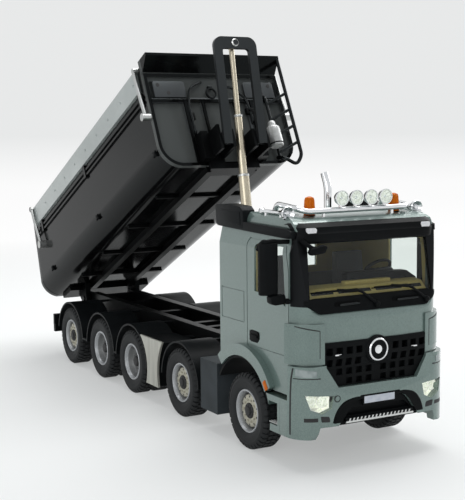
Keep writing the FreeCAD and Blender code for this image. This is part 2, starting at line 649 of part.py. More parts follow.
def band(name, corners):
    """The narrow space between a loop and the same loop drawn in by a groove's width."""
    across = [value(corner[0]) for corner in corners]
    up = [value(corner[1]) for corner in corners]
    middle = (sum(across) / len(across), sum(up) / len(up))
    inner = [
        (f"{corner[0]} {'+' if x < middle[0] else '-'} groove",
         f"{corner[1]} {'+' if z < middle[1] else '-'} groove")
        for corner, x, z in zip(corners, across, up)
    ]
    return prism(name, "XZ_Plane", [corners, inner], "-cab_half - 2", "cab_half + 2")


def cab_seams():
    """Grooves cast into the cab's sides: the door, the hatch behind it and the door's handle."""
    door = band("door_band", [
        ("door_back", "door_low"), ("door_front", "door_low"), ("door_front", "window_low + 8"),
        ("door_front - 1.4", "door_high - 0.6"), ("door_back + 1.2", "door_high"),
        ("door_back", "door_high - 1.4"),
    ])
    hatch = band("hatch_band", [
        ("hatch_back", "hatch_low"), ("hatch_front", "hatch_low"), ("hatch_front", "hatch_high"),
        ("hatch_back", "hatch_high"),
    ])
    handle = block("handle_recess", ("door_back + 1.3", "-cab_half - 2", "door_low + 2.2"),
                   ("door_back + 6.8", "cab_half + 2", "door_low + 4.3"))
    lower = block("lower_seam", ("door_front - groove", "-cab_half - 2", "cab_sill - 1"),
                  ("door_front", "cab_half + 2", "door_low + groove / 2"))
    skin = cut("groove_skin", cab_form("groove_outer", "-0.1", "cab_sill - 1"),
               cab_form("groove_inner", "groove_depth", "cab_sill - 2"))
    return common("groove_cuts", fuse("groove_bands", door, hatch, handle, lower), skin)


def glazing():
    outer = cab_form("glass_outer", "glass_inset", "cab_sill")
    inner = cab_form("glass_inner", "(glass_inset + glass)", "cab_sill - 1")
    panes = []
    for number, tool in enumerate(window_tools("pane", "play")):
        panes.append(cut(f"glass_{number}", common(f"pane_{number}", outer, tool), inner))
    node("cab_windows", group("glass_all", *panes))


# Interior: a tub with floor and back wall, two seats, and the dash with its steering wheel.
def interior():
    wide = "cab_half - cab_wall - seat_gap"
    tub = prism("tub", "XZ_Plane", [[
        ("cab_back + cab_wall + seat_gap", "cab_floor"), ("nose_x - 7.2", "cab_floor"),
        ("nose_x - 7.2", "cab_floor + 1.2"), ("cab_back + cab_wall + 9", "cab_floor + 1.2"),
        ("cab_back + cab_wall + 9", "cab_floor + 9"), ("cab_back + cab_wall + 1.2", "cab_floor + 9"),
        ("cab_back + cab_wall + 1.2", "window_low + 2"), ("cab_back + cab_wall + seat_gap", "window_low + 2"),
    ]], f"-({wide})", wide)
    seat = prism("seat", "XZ_Plane", [[
        ("-1", "cab_floor + 1.2"), ("9", "cab_floor + 1.2"), ("9", "cab_floor + 6"),
        ("10", "cab_floor + 9"), ("1.5", "cab_floor + 8.4"), ("-0.8", "window_high - 9"),
        ("-1.4", "window_high - 4.6"), ("-3.2", "window_high - 4.6"), ("-3.6", "cab_floor + 8"),
    ]], "6.5", "15.5")
    node("cab_interior", fuse("interior_all", tub, seat, mirror("seat_other", seat), dashboard()))


def dashboard():
    dash = prism("dash", "XZ_Plane", [[
        ("nose_x - 7.4", "cab_floor + 0.6"), ("nose_x - 5", "cab_floor + 2.4"),
        ("nose_x - 5", "grille_top + 1"), ("nose_x - 2.6", "grille_top + 3"), ("nose_x - 2.6", "screen_foot_z - 0.4"), ("nose_x - 7.5", "screen_foot_z + 1.6"),
        ("nose_x - 11.5", "screen_foot_z - 0.4"), ("nose_x - 11.5", "screen_foot_z - 6"),
        ("nose_x - 7.6", "screen_foot_z - 9"),
    ]], "-screen_half + 1.6", "screen_half - 1.6")
    column = rod("column", ("nose_x - 9", "11", "screen_foot_z - 0.35"), "7.9", "0.7")
    bind(column, "Placement.Rotation.Angle", "-35 * 1deg")
    for field, number in zip("xyz", ("0", "1", "0")):
        bind(column, "Placement.Rotation.Axis." + field, number)
    wheel = doc.addObject("Part::Torus", "steering_rim")
    bind(wheel, "Radius1", "3.6")
    bind(wheel, "Radius2", "0.42")
    bind(wheel, "Placement.Rotation.Angle", "-35 * 1deg")
    for field, number in zip("xyz", ("0", "1", "0")):
        bind(wheel, "Placement.Rotation.Axis." + field, number)
    place(wheel, "nose_x - 13.6", "11", "screen_foot_z + 6.2")
    spoke = block("spoke", ("nose_x - 14.1", "7.3", "screen_foot_z + 5.9"),
                  ("nose_x - 13.1", "14.7", "screen_foot_z + 6.5"))
    return fuse("dash_all", dash, column, wheel, spoke)


# Grille: a black moulding that fills the mouth in the nose, with rows of rectangular pockets.
def grille():
    body = prism("grille_block", "YZ_Plane", [grille_loop("0")], "chin_x - 1.4", "nose_x + 1.4")
    front = cab_form("grille_front", "-0.5", "cab_sill")
    pockets = []
    rows = (("grille_top - 1.4", 1.9, 4), ("grille_top - 4.4", 1.9, 4), ("grille_waist - 0.7", 1.7, 4),
            ("grille_waist - 3.3", 1.6, 3))
    for row, (top, tall, count) in enumerate(rows):
        for number in range(count):
            out = 4.9 + number * 3.0 if row < 2 else 1.4 + number * 3.1
            pockets.append(block(
                f"pocket_{row}_{number}", ("nose_x - 1.5", f"{out}", f"{top} - {tall}"),
                ("nose_x + 2", f"{out + 1.9}", top)))
    side = fuse("pocket_side", *pockets)
    ring_face = rod("badge_seat", ("nose_x - 0.6", "0", "badge_z"), "1.5", "badge_radius", "X")
    moulding = cut("grille_cut", common("grille_form", body, front), side, mirror("pocket_other", side))
    node("grille", fuse("grille_all", moulding, ring_face))


# Wiper panel: the black cowl under the windscreen, standing a little proud of the nose.
def wiper_panel():
    face = [
        ("-(screen_half - 0.2)", "screen_low - 0.15"), ("-(screen_half + 0.6)", "screen_low - 1.2"),
        ("-(corner_y + 0.6)", "nose_z + 0.6"), ("-(corner_y - 1)", "nose_z - 0.1"),
        ("corner_y - 1", "nose_z - 0.1"), ("corner_y + 0.6", "nose_z + 0.6"),
        ("screen_half + 0.6", "screen_low - 1.2"), ("screen_half - 0.2", "screen_low - 0.15"),
    ]
    slab = prism("cowl_slab", "YZ_Plane", [face], "brow_x - 2", "nose_x + 2")
    skin = cut("cowl_skin", cab_form("cowl_outer", "-0.35", "cab_sill"), cab_form("cowl_inner", "0", "cab_sill - 1"))
    node("wiper_panel", common("cowl_all", slab, skin))


# Sun visor: a black beam across the brow, on two end brackets, and the fairings on the roof sides.
def roof_trim():
    beam = prism("visor_beam", "XZ_Plane", [[
        ("brow_x - 1.0", "brow_z - 0.2"), ("brow_x + 0.4", "brow_z + 0.3"), ("brow_x + 2.4", "brow_z - 0.9"),
        ("brow_x + 3.0", "brow_z - 4.3"), ("brow_x + 2.3", "brow_z - 4.5"), ("brow_x + 1.6", "brow_z - 1.8"),
    ]], "-(cab_half - 0.6)", "cab_half - 0.6")
    trimmed = cut("visor_trim", beam, cab_form("visor_seat", "0", "cab_sill"))
    node("sun_visor", trimmed)
    fairing = prism("fairing", "XZ_Plane", [[
        ("cab_back - 1.9", "roof_back + 3.1"), ("cab_back - 1.4", "roof_back - 2.6"),
        ("cab_back + 14", "roof_back - 3.1"), ("brow_x - 1.5", "brow_z - 3.6"), ("brow_x + 0.2", "brow_z - 1.2"),
        ("brow_x - 2", "brow_z + 0.5"), ("cab_back + 15", "roof_back + 0.8"),
        ("cab_back + 13.5", "roof_back + 3.0"),
    ]], "cab_half - roof_lean - 2.6", "cab_half + 0.3")
    seat = cab_form("fairing_seat", "0", "cab_sill")
    node("roof_fairings", both_sides("fairings", cut("fairing_cut", fairing, seat)))


# Roof bar: bent chrome tube with four spot lamps, two horns at its ends, and amber beacons.
def roof_gear():
    stand = "roof_front"
    tube = rod("bar_tube", ("brow_x - 3.4", "-(cab_half - 5.4)", f"{stand} + 1.2"), "(cab_half - 5.4) * 2", "0.5", "Y")
    legs, lamps = [], []
    for number, across in enumerate(("-17.0", "-7.4", "7.4", "17.0")):
        legs.append(rod(f"bar_leg_{number}", ("brow_x - 3.4", across, f"{stand} - 1.6"), "2.8", "0.45"))
    for number in range(4):
        across = f"{-5.2 + number * 4.9}"
        body = rod(f"spot_{number}", ("brow_x - 4.6", across, f"{stand} + 4.2"), "2.2", "2.05", "X")
        foot = rod(f"spot_foot_{number}", ("brow_x - 3.4", across, f"{stand} + 1.2"), "1.4", "0.4")
        lamps += [body, foot]
    horns = []
    for number, side in enumerate(("-(cab_half - 4.0)", "cab_half - 4.0")):
        bell = doc.addObject("Part::Cone", f"horn_{number}")
        bind(bell, "Radius1", "0.6")
        bind(bell, "Radius2", "1.4")
        bind(bell, "Height", "3.0")
        bell.Placement = FreeCAD.Placement(
            FreeCAD.Vector(), FreeCAD.Rotation(FreeCAD.Vector(0, 1, 0), 90))
        horns.append(place(bell, "brow_x - 10", side, f"{stand} + 0.9"))
        horns.append(rod(f"horn_pipe_{number}", ("brow_x - 21", side, f"{stand} + 0.9"), "11.2", "0.6", "X"))
        horns.append(rod(f"horn_foot_{number}", ("brow_x - 19", side, f"{stand} - 3"), "3.9", "0.5"))
    seat = cab_form("bar_seat", "0", "cab_sill")
    node("light_bar", cut("bar_cut", fuse("bar_all", tube, *legs, *lamps, *horns), seat))
    beacon = rod("beacon", ("brow_x - 5.5", "13.7", f"{stand} - 0.5"), "5.4", "1.25")
    base = rod("beacon_base", ("brow_x - 5.5", "13.7", f"{stand} - 1.2"), "1.4", "1.5")
    seat = cab_form("beacon_seat", "0", "cab_sill")
    node("beacons", both_sides("beacon_pair", cut("beacon_cut", fuse("beacon_solid", beacon, base), seat)))


# Bumper: a wrap-round moulding whose upper part flanks the grille and whose middle is cut out for
# the guard. It is drawn like the cab, as the space that three views share.
def bumper_form(name, inset, back):
    half = f"bumper_half - {inset}"
    nose = f"bumper_x - bumper_bow - {inset}"
    plan = [
        (back, f"-({half})"), (f"bumper_x - bumper_bow - bumper_radius", f"-({half})"),
        (nose, f"-({half} - bumper_radius)", "bumper_radius"),
        (nose, f"{half} - bumper_radius",
         "((bumper_half - bumper_radius)^2 + bumper_bow^2) / 2 / bumper_bow"),
        (f"bumper_x - bumper_bow - bumper_radius", half, "bumper_radius"), (back, half),
    ]
    side = [
        (back, "bumper_low"), (f"bumper_x - 1.8 - {inset}", "bumper_low"),
        (f"bumper_x - {inset}", "bumper_low + 4"), (f"bumper_x - {inset}", "bumper_top - 2.6"),
        (f"bumper_x - 0.9 - {inset}", "bumper_top"), (f"bumper_x - 1.5 - {inset}", "chin_z + 0.5"),
        (f"{back} + 3.7", "chin_z + 0.5"), (f"{back} + 3.7", "step_top"), (back, "step_top"),
    ]
    return common(
        name,
        prism(name + "_plan", "XY_Plane", [plan], "bumper_low - 1", "chin_z + 2"),
        prism(name + "_side", "XZ_Plane", [side], "-bumper_half - 1", "bumper_half + 1"),
    )


def bumper():
    outer = bumper_form("bumper_outer", "0", "bumper_back")
    inner = bumper_form("bumper_inner", "bumper_wall", "bumper_back - 9")
    mouth = prism("guard_mouth", "YZ_Plane", [guard_loop("0")], "bumper_x - 9", "bumper_x + 1")
    lamp = prism("lamp_mouth", "YZ_Plane", [lamp_loop("0")], "bumper_x - 12", "bumper_x + 1")
    rise = prism("bumper_rise", "YZ_Plane", [[
        ("bumper_low + 11.4", "bumper_low - 2"), ("bumper_low + 9.8", "bumper_low + 3"),
        ("-(bumper_low + 9.8)", "bumper_low + 3"), ("-(bumper_low + 11.4)", "bumper_low - 2"),
    ]], "bumper_back + 2", "bumper_x + 1")
    nose = prism("bumper_nose", "YZ_Plane", [grille_loop("play")], "bumper_back", "bumper_x + 1")
    solid = cut("bumper_cut", outer, inner, cab_form("bumper_seat", "-seat_gap", "cab_sill - seat_gap"),
                mouth, lamp, mirror("lamp_mouth_twin", lamp), rise, nose)
    node("bumper", solid)


def guard_loop(grow):
    return [
        (f"-(6.2 + {grow})", f"bumper_top - 2.4 + {grow}"), (f"-(9.0 + {grow})", "bumper_top - 4.8"),
        (f"-(13.0 + {grow})", f"bumper_low + 2.9 - {grow}"), (f"13.0 + {grow}", f"bumper_low + 2.9 - {grow}"),
        (f"9.0 + {grow}", "bumper_top - 4.8"), (f"6.2 + {grow}", f"bumper_top - 2.4 + {grow}"),
    ]


def lamp_loop(shrink):
    return [
        (f"lamp_in + {shrink}", f"lamp_high - 0.6 - {shrink}"),
        (f"lamp_in + 0.8 + {shrink}", f"lamp_low + 1.2 + {shrink}"),
        (f"lamp_in + 3.4", f"lamp_low + {shrink}"), (f"lamp_out - 1.2 - {shrink}", f"lamp_low + 1.4 + {shrink}"),
        (f"lamp_out - {shrink}", f"lamp_high - {shrink}"),
    ]


def front_fittings():
    guard = prism("guard_block", "YZ_Plane", [guard_loop("-play")], "bumper_x - 6", "bumper_x + 1")
    form = bumper_form("guard_form", "0.7", "bumper_back")
    pocket = prism("guard_pocket", "YZ_Plane", [[
        ("-8.2", "bumper_top - 5.6"), ("-10.8", "bumper_low + 5.2"), ("10.8", "bumper_low + 5.2"),
        ("8.2", "bumper_top - 5.6"),
    ]], "bumper_x - 2.4", "bumper_x + 1")
    plate = block("plate", ("bumper_x - 3", "-5.2", "bumper_top - 5.3"), ("bumper_x - 0.3", "5.2", "bumper_top - 2.8"))
    node("bumper_guard", fuse("guard_all", cut("guard_cut", common("guard_shape", guard, form), pocket), plate))
    bar = block("skid", ("bumper_x - 2.2", "-10.9", "bumper_low + 3.5"), ("bumper_x", "10.9", "bumper_low + 4.9"))
    node("skid_bar", cut("skid_cut", bar, common("skid_seat", guard, form)))
    lens = prism("lens_block", "YZ_Plane", [lamp_loop("play")], "bumper_back", "bumper_x + 1")
    shell = cut("lens_shell", bumper_form("lens_outer", "0.15", "bumper_back"),
                bumper_form("lens_inner", "1.9", "bumper_back - 4"))
    node("head_lamps", both_sides("lens_pair", common("lens_cut", lens, shell)))


# Cab steps: a grey box behind each bumper end, hollowed between its two treads, and cut to the
# curve of the tyre.
def steps():
    body = block("step_block", ("step_back - 1.6", "bumper_half - step_depth", "bumper_low"),
                 ("bumper_back - seat_gap", "bumper_half", "step_top"))
    well = block("step_well", ("step_back + 2.6", "bumper_half - 4", "bumper_low + 1.9"),
                 ("bumper_back - 1.1", "bumper_half + 1", "step_top - 1.7"))
    arch = rod("step_arch", ("flare_x", "bumper_half - step_depth - 1", "tyre_radius"), "step_depth + 2",
               "flare_radius - flare_band + seat_gap", "Y")
    node("cab_steps", both_sides("step_pair", cut("step_cut", body, well, arch)))


# Wheel flares over the front wheels, and the black liner inside each.
def flares():
    centre = ("flare_x", "tyre_radius")
    band = ring("flare_band_solid", centre, "flare_radius - flare_band", "flare_radius", ("30.5", "134"),
                "cab_half", "cab_half + flare_stand")
    node("wheel_flares", both_sides("flare_pair", band))
    liner = ring("liner_ring", centre, "flare_radius - flare_band - liner_wall",
                 "flare_radius - flare_band - play", ("24", "150"), "rail_out + 3", "cab_half + liner_stand")
    node("arch_liners", both_sides("liner_pair", liner))


# Corner deflectors: curved grey panels that stand off the cab's front corners.
def deflectors():
    panel = prism("deflector_plan", "XY_Plane", [[
        ("nose_x - 4", "corner_y - 0.8"), ("nose_x - 0.1", "corner_y - 0.8"),
        ("corner_x - 0.4", "cab_half + 1.3", "corner_radius + 1.4"), ("corner_x - 0.4", "cab_half - 2"),
    ]], "chin_z + 0.8", "nose_z - 0.5")
    hollow = prism("deflector_back", "XY_Plane", [[
        ("nose_x - 6", "corner_y - 2"), ("nose_x - 0.7", "corner_y - 2"), ("nose_x - 0.7", "corner_y - 0.8"),
        ("corner_x - 1.4", "cab_half + 0.7", "corner_radius + 0.8"), ("corner_x - 1.4", "cab_half - 3"),
    ]], "chin_z", "nose_z + 3")
    panel = cut("deflector_cut", panel, hollow, cab_form("deflector_seat", "-play", "cab_sill"))
    node("corner_deflectors", both_sides("deflector_pair", panel))


# Mirrors: a tall housing on each side on two arms, and the kerb mirror over the windscreen.
def mirrors():
    head = prism("mirror_head", "XY_Plane", [[
        ("brow_x - 4.0", "cab_half + 2.4"), ("brow_x - 4.0", "cab_half + 7.4"),
        ("brow_x - 1.8", "cab_half + 7.2", "4"), ("brow_x - 1.4", "cab_half + 2.8", "9"),
    ]], "window_low + 2.0", "window_high + 1.6")
    top = tube("mirror_top_arm", [
        ("brow_x - 2.6", "cab_half + 4.4", "window_high + 0.8"), ("brow_x - 2.6", "cab_half + 3.4", "window_high + 1.9"),
        ("brow_x - 2.0", "cab_half - 0.7", "window_high + 1.7"),
    ], "0.6")
    low = tube("mirror_low_arm", [
        ("brow_x - 2.6", "cab_half + 4.4", "window_low + 2.4"), ("brow_x - 2.4", "cab_half + 3.4", "window_low + 0.4"),
        ("brow_x - 0.8", "cab_half - 0.7", "window_low + 0.2"),
    ], "0.8")
    seat = cab_form("mirror_seat", "-play", "cab_sill")
    node("mirrors", both_sides("mirror_pair", cut("mirror_cut", fuse("mirror_all", head, top, low), seat)))


def tube(name, points, radius):
    """A bent round bar through a few points, with a ball at each bend."""
    corners = [FreeCAD.Vector(*(value(text) for text in point)) for point in points]
    size = value(radius)
    solids = []
    for first, last in zip(corners, corners[1:]):
        solids.append(Part.makeCylinder(size, (last - first).Length, first, last - first))
    for corner in corners[1:-1]:
        solids.append(Part.makeSphere(size, corner))
    bar = doc.addObject("Part::Feature", name)
    bar.Shape = solids[0].fuse(solids[1:]).removeSplitter() if len(solids) > 1 else solids[0]
    return bar


# Exhaust stack: a chrome pipe that stands behind the cab and bends back at its tip.
def exhaust():
    stack = tube("stack", [
        ("cab_back - 3.0", "cab_half - 7", "rail_top - 1.8"), ("cab_back - 3.0", "cab_half - 7", "roof_front + 5.6"),
        ("cab_back - 5.0", "cab_half - 7", "roof_front + 9.6"),
    ], "1.05")
    shelf = block("stack_shelf", ("cab_back - 4.2", "rail_out + play", "rail_top - 1.8"),
                  ("cab_back - 1.8", "cab_half - 6", "rail_top - 0.6"))
    node("exhaust_stack", fuse("stack_all", stack, shelf))


# Boxes and panels along the chassis sides.
def side_gear():
    case = block("side_box", ("cab_back - 10", "rail_out + 3", "6"),
                 ("cab_back + 0.3", "track_half", "back_sill - 0.5"))
    arm = block("box_arm", ("cab_back - 6", "rail_out", "rail_low + 1"), ("cab_back - 3", "rail_out + 3", "rail_top - 2"))
    node("side_boxes", both_sides("box_pair", fuse("box_all", case, arm)))
    low, high = "5.9", "rail_top - 3"

    def panel_loop(inset):
        gap_three = f"(fender_radius + fender_wall + 0.2 + {inset})"
        gap_two = f"(fender_radius + 3.8 + {inset})"
        drop, lift = f"(tyre_radius - {low} - {inset})", f"({high} - {inset} - tyre_radius)"
        return [
            (f"axle_three + sqrt({gap_three}^2 - {lift}^2)", f"{high} - {inset}"),
            (f"axle_three + sqrt({gap_three}^2 - {drop}^2)", f"{low} + {inset}", f"-{gap_three}"),
            (f"axle_two - sqrt({gap_two}^2 - {drop}^2)", f"{low} + {inset}"),
            (f"axle_two - sqrt({gap_two}^2 - {lift}^2)", f"{high} - {inset}", f"-{gap_two}"),
        ]
    sheet = prism("side_sheet", "XZ_Plane", [panel_loop("0")], "track_half - 0.7", "track_half")
    node("side_panels", both_sides("sheet_pair", sheet))
    tank = prism("side_tank", "XZ_Plane", [panel_loop("0.4")], "rail_out + 3.2", "track_half - 0.7")
    arm = block("tank_arm", ("(axle_two + axle_three) / 2 - 4", "rail_out", "rail_low + 1"),
                ("(axle_two + axle_three) / 2", "rail_out + 3.2", "rail_top - 3.6"))
    node("side_tanks", both_sides("tank_pair", fuse("tank_all", tank, arm)))


# Fenders: thin black sheets curved over the tyres, held to the rails by round brackets.
def fenders():
    wide = ("fender_in", "fender_out")
    outer = "fender_radius + fender_wall"

    def arm(name, axle):
        top = f"tyre_radius + {outer} - 0.9"
        return block(name, (f"{axle} - 1", "rail_out", top), (f"{axle} + 1", "fender_in + 1", f"{top} + 0.6"))

    front = ring("fender_two", ("axle_two", "tyre_radius"), "fender_radius", outer, ("2", "176"), *wide)
    node("front_fenders", both_sides("front_fender_pair", fuse("front_fender", front, arm("arm_two", "axle_two"))))
    pieces = []
    sweeps = (("three", "2", "178"), ("four", "2", "178"), ("five", "2", "172"))
    for word, first, last in sweeps:
        pieces.append(ring(f"fender_{word}", (f"axle_{word}", "tyre_radius"), "fender_radius", outer,
                           (first, last), *wide))
        pieces.append(arm(f"arm_{word}", f"axle_{word}"))
    for ahead, behind in (("three", "four"), ("four", "five")):
        height = "tyre_radius + fender_wall"
        reach = "(fender_radius + fender_wall / 2)"
        pieces.append(block(
            f"valley_{ahead}", (f"axle_{behind} + {reach}", "fender_in", height),
            (f"axle_{ahead} - {reach}", "fender_out", f"{height} + fender_wall")))
    node("rear_fenders", both_sides("rear_fender_pair", fuse("rear_fender", *pieces)))


# Tail: the lamp board and under-run bar on two arms from the frame.
def tail():
    lamps = block("tail_lamp", ("hinge_x - 0.4", "track_half - 9.5", "12.4"), ("hinge_x + 1.2", "track_half", "16.4"))
    bar = block("under_run", ("hinge_x - 0.2", "-track_half", "9.6"), ("hinge_x + 1.6", "track_half", "12.4"))
    arm = block("tail_arm", ("hinge_x", "rail_out - rail_web", "12.3"),
                ("hinge_x + 5", "rail_out", "rail_low - play"))
    side = fuse("tail_side", lamps, arm)
    node("tail_board", fuse("tail_all", side, mirror("tail_other", side), bar))


# Load bed: a half-pipe shell with rounded lower corners and a sloping tail.
def bed_form(name, inset, front, back):
    half, floor = f"bed_half - {inset}", f"bed_floor + {inset}"
    round_ = f"bed_round - {inset}"
    top = "bed_top" if inset == "0" else "bed_top + 1"
    pipe = [
        (f"-({half})", top), (f"-({half})", f"{floor} + {round_}"), (f"-({half} - {round_})", floor, round_),
        (f"{half} - {round_}", floor), (half, f"{floor} + {round_}", round_), (half, top),
    ]
    side = [
        (f"bed_tail_low - {back}", "bed_floor - 1"), (front, "bed_floor - 1"), (front, "bed_top + 2"),
        (f"bed_tail_top - {back}", "bed_top + 2"), (f"bed_tail_top - {back}", "bed_top"),
    ]
    return common(
        name,
        prism(name + "_pipe", "YZ_Plane", [pipe], "bed_tail_low - 9", front),
        prism(name + "_side", "XZ_Plane", [side], "-bed_half - 1", "bed_half + 1"),
    )


def bed_shell():
    outer = bed_form("bed_outer", "0", "bed_front", "0")
    inner = bed_form("bed_inner", "bed_wall", "bed_front - bed_wall", "9")
    canopy = prism("canopy_plate", "XZ_Plane", [[
        ("bed_front - bed_wall", "canopy_foot"), ("bed_front", "canopy_foot"),
        ("bed_front + canopy_reach", "canopy_top - 0.9"), ("bed_front + canopy_reach", "canopy_top"),
        ("bed_front + canopy_reach - 1.2", "canopy_top"), ("bed_front - 0.1", "canopy_foot + 1.3"),
        ("bed_front - 0.1", "bed_top"), ("bed_front - bed_wall", "bed_top"),
    ]], "-bed_half", "bed_half")
    cheek = prism("canopy_cheek", "XZ_Plane", [[
        ("bed_front - bed_wall", "canopy_foot"), ("bed_front", "canopy_foot"),
        ("bed_front + canopy_reach", "canopy_top - 0.9"), ("bed_front + canopy_reach", "canopy_top"),
        ("bed_front - bed_wall", "canopy_top"),
    ]], "bed_half - 0.9", "bed_half")
    frame = prism("wall_frame", "YZ_Plane", [
        [("-bed_half", "canopy_foot"), ("-bed_half", "bed_floor + bed_round"),
         ("-(bed_half - bed_round)", "bed_floor", "bed_round"), ("bed_half - bed_round", "bed_floor"),
         ("bed_half", "bed_floor + bed_round", "bed_round"), ("bed_half", "canopy_foot")],
        [("-(bed_half - 1)", "canopy_foot - 1"), ("-(bed_half - 1)", "bed_floor + bed_round"),
         ("-(bed_half - bed_round)", "bed_floor + 1", "bed_round - 1"),
         ("bed_half - bed_round", "bed_floor + 1"),
         ("bed_half - 1", "bed_floor + bed_round", "bed_round - 1"), ("bed_half - 1", "canopy_foot - 1")],
    ], "bed_front", "bed_front + 0.8")
    beam = block("wall_beam", ("bed_front", "-bed_half + 0.8", "canopy_foot - 10.1"),
                 ("bed_front + 1.1", "bed_half - 0.8", "canopy_foot - 9.1"))
    ribs, plates, rails = [], [], []
    for number, (across, foot) in enumerate((("5.2", "foot_z + 5.5"), ("11.6", "bed_floor + 1"))):
        ribs.append(block(f"wall_rib_{number}", ("bed_front", across, foot),
                          ("bed_front + 1.3", f"{across} + 0.9", "canopy_foot - 9.2")))
    plates.append(block("wall_plate", ("bed_front", "11.4", "canopy_foot - 9.0"),
                        ("bed_front + 0.8", "bed_half - 1.6", "canopy_foot - 2.8")))
    for number, drop in enumerate(("1.6", "3.4")):
        rails.append(block(f"side_rail_{number}", ("bed_tail_top + 1", "bed_half - 0.1", f"cover_low - {drop} - 0.7"),
                           ("bed_front - 2", "bed_half + 0.6", f"cover_low - {drop}")))
    for number, spot in enumerate(("bed_front - 5", "(bed_front + bed_tail_top) / 2", "bed_tail_top + 8")):
        rails.append(block(f"rail_clip_{number}", (spot, "bed_half - 0.1", "cover_low - 4.6"),
                           (f"{spot} + 1.6", "bed_half + 0.85", "cover_low - 0.1")))
    side = fuse("bed_side_parts", *ribs, *plates, *rails, cheek)
    shell = cut("bed_hollow", outer, inner)
    node("bed_shell", fuse("bed_all", shell, canopy, frame, beam, side, mirror("bed_side_other", side)), "bed")


# Underframe of the bed: two sills that rest over the rails, cross beams, hinge ears and the two
# boxes in front that hold the feet of the yoke.
def bed_frame():
    low = "bed_floor - sill_drop"
    middle = "rail_out - sill_half - 0.2"
    sill = block("sill", ("hinge_x + hinge_boss", f"{middle} - sill_half", low),
                 ("bed_front - 0.5", f"{middle} + sill_half", "bed_floor"))
    tab = block("front_tab", ("bed_front - 3.5", "-(rail_out - sill_half)", low), ("bed_front + 2.2", "rail_out - sill_half", "bed_floor - play"))
    ear_in = "rail_out + ear_gap"
    ear = prism("hinge_ear", "XZ_Plane", [[
        ("hinge_x - hinge_boss", "hinge_z"), ("hinge_x", "hinge_z - hinge_boss", "hinge_boss"),
        ("hinge_x + hinge_boss", "hinge_z", "hinge_boss"),
        ("hinge_x + hinge_boss * 1.9", "bed_floor"), ("hinge_x - hinge_boss * 1.9", "bed_floor"),
    ]], ear_in, f"{ear_in} + ear_wall")
    bore = rod("ear_bore", ("hinge_x", "rail_out", "hinge_z"), "ear_wall + ear_gap + 1", "hinge_pin + play", "Y")
    ear_cut = cut("ear_cut", ear, bore)
    beam = block("tail_beam", ("bed_tail_low + 0.4", "-(bed_half - bed_round)", "bed_floor - 1.5"),
                 ("hinge_x + 1", "bed_half - bed_round", "bed_floor"))
    ribs = [
        block(f"floor_rib_{number}", (spot, "-(bed_half - bed_round)", "bed_floor - 0.8"),
              (f"{spot} + 1", "bed_half - bed_round", "bed_floor"))
        for number, spot in enumerate(("bed_front - 24", "bed_front - 50", "bed_front - 76", "bed_front - 100"))
    ]
    leg_in, leg_out = "yoke_half - yoke_leg", "yoke_half"
    base = ("bed_front + 0.9")
    inner = block("yoke_ear_in", (base, f"{leg_in} - 1.4", "foot_z - 3.0"),
                  ("foot_x + 1.8", f"{leg_in} - 0.3", "foot_z + 3.0"))
    outer = block("yoke_ear_out", (base, f"{leg_out} + 0.3", "foot_z - 3.6"),
                  ("foot_x + 1.8", f"{leg_out} + 1.2", "foot_z + 4.6"))
    case = block("yoke_box", (base, f"{leg_out} + 1.2", "foot_z - 3.6"),
                 ("bed_front + 5", f"{leg_out} + 3.7", "foot_z + 5.4"))
    back = block("yoke_back", (base, f"{leg_in} - 1.4", "foot_z - 3.6"),
                 ("bed_front + 2.2", f"{leg_out} + 1.2", "foot_z + 4.6"))
    pin = rod("yoke_foot_pin", ("foot_x", f"{leg_in} - 1.4", "foot_z"), "yoke_leg + 2.6", "yoke_pin", "Y")
    hold = fuse("yoke_hold", inner, outer, case, back, pin)
    pillar = block("yoke_pillar", (base, f"{leg_in} - 1.4", low),
                   ("bed_front + 2.2", f"{leg_out} + 1.2", "foot_z - 3.6"))
    side = fuse("under_side", sill, ear_cut, hold, pillar)
    under = fuse("under_all", side, mirror("under_other", side), tab, beam, *ribs)
    node("bed_frame", group("under_and_posts", under, gate_posts()), "bed")


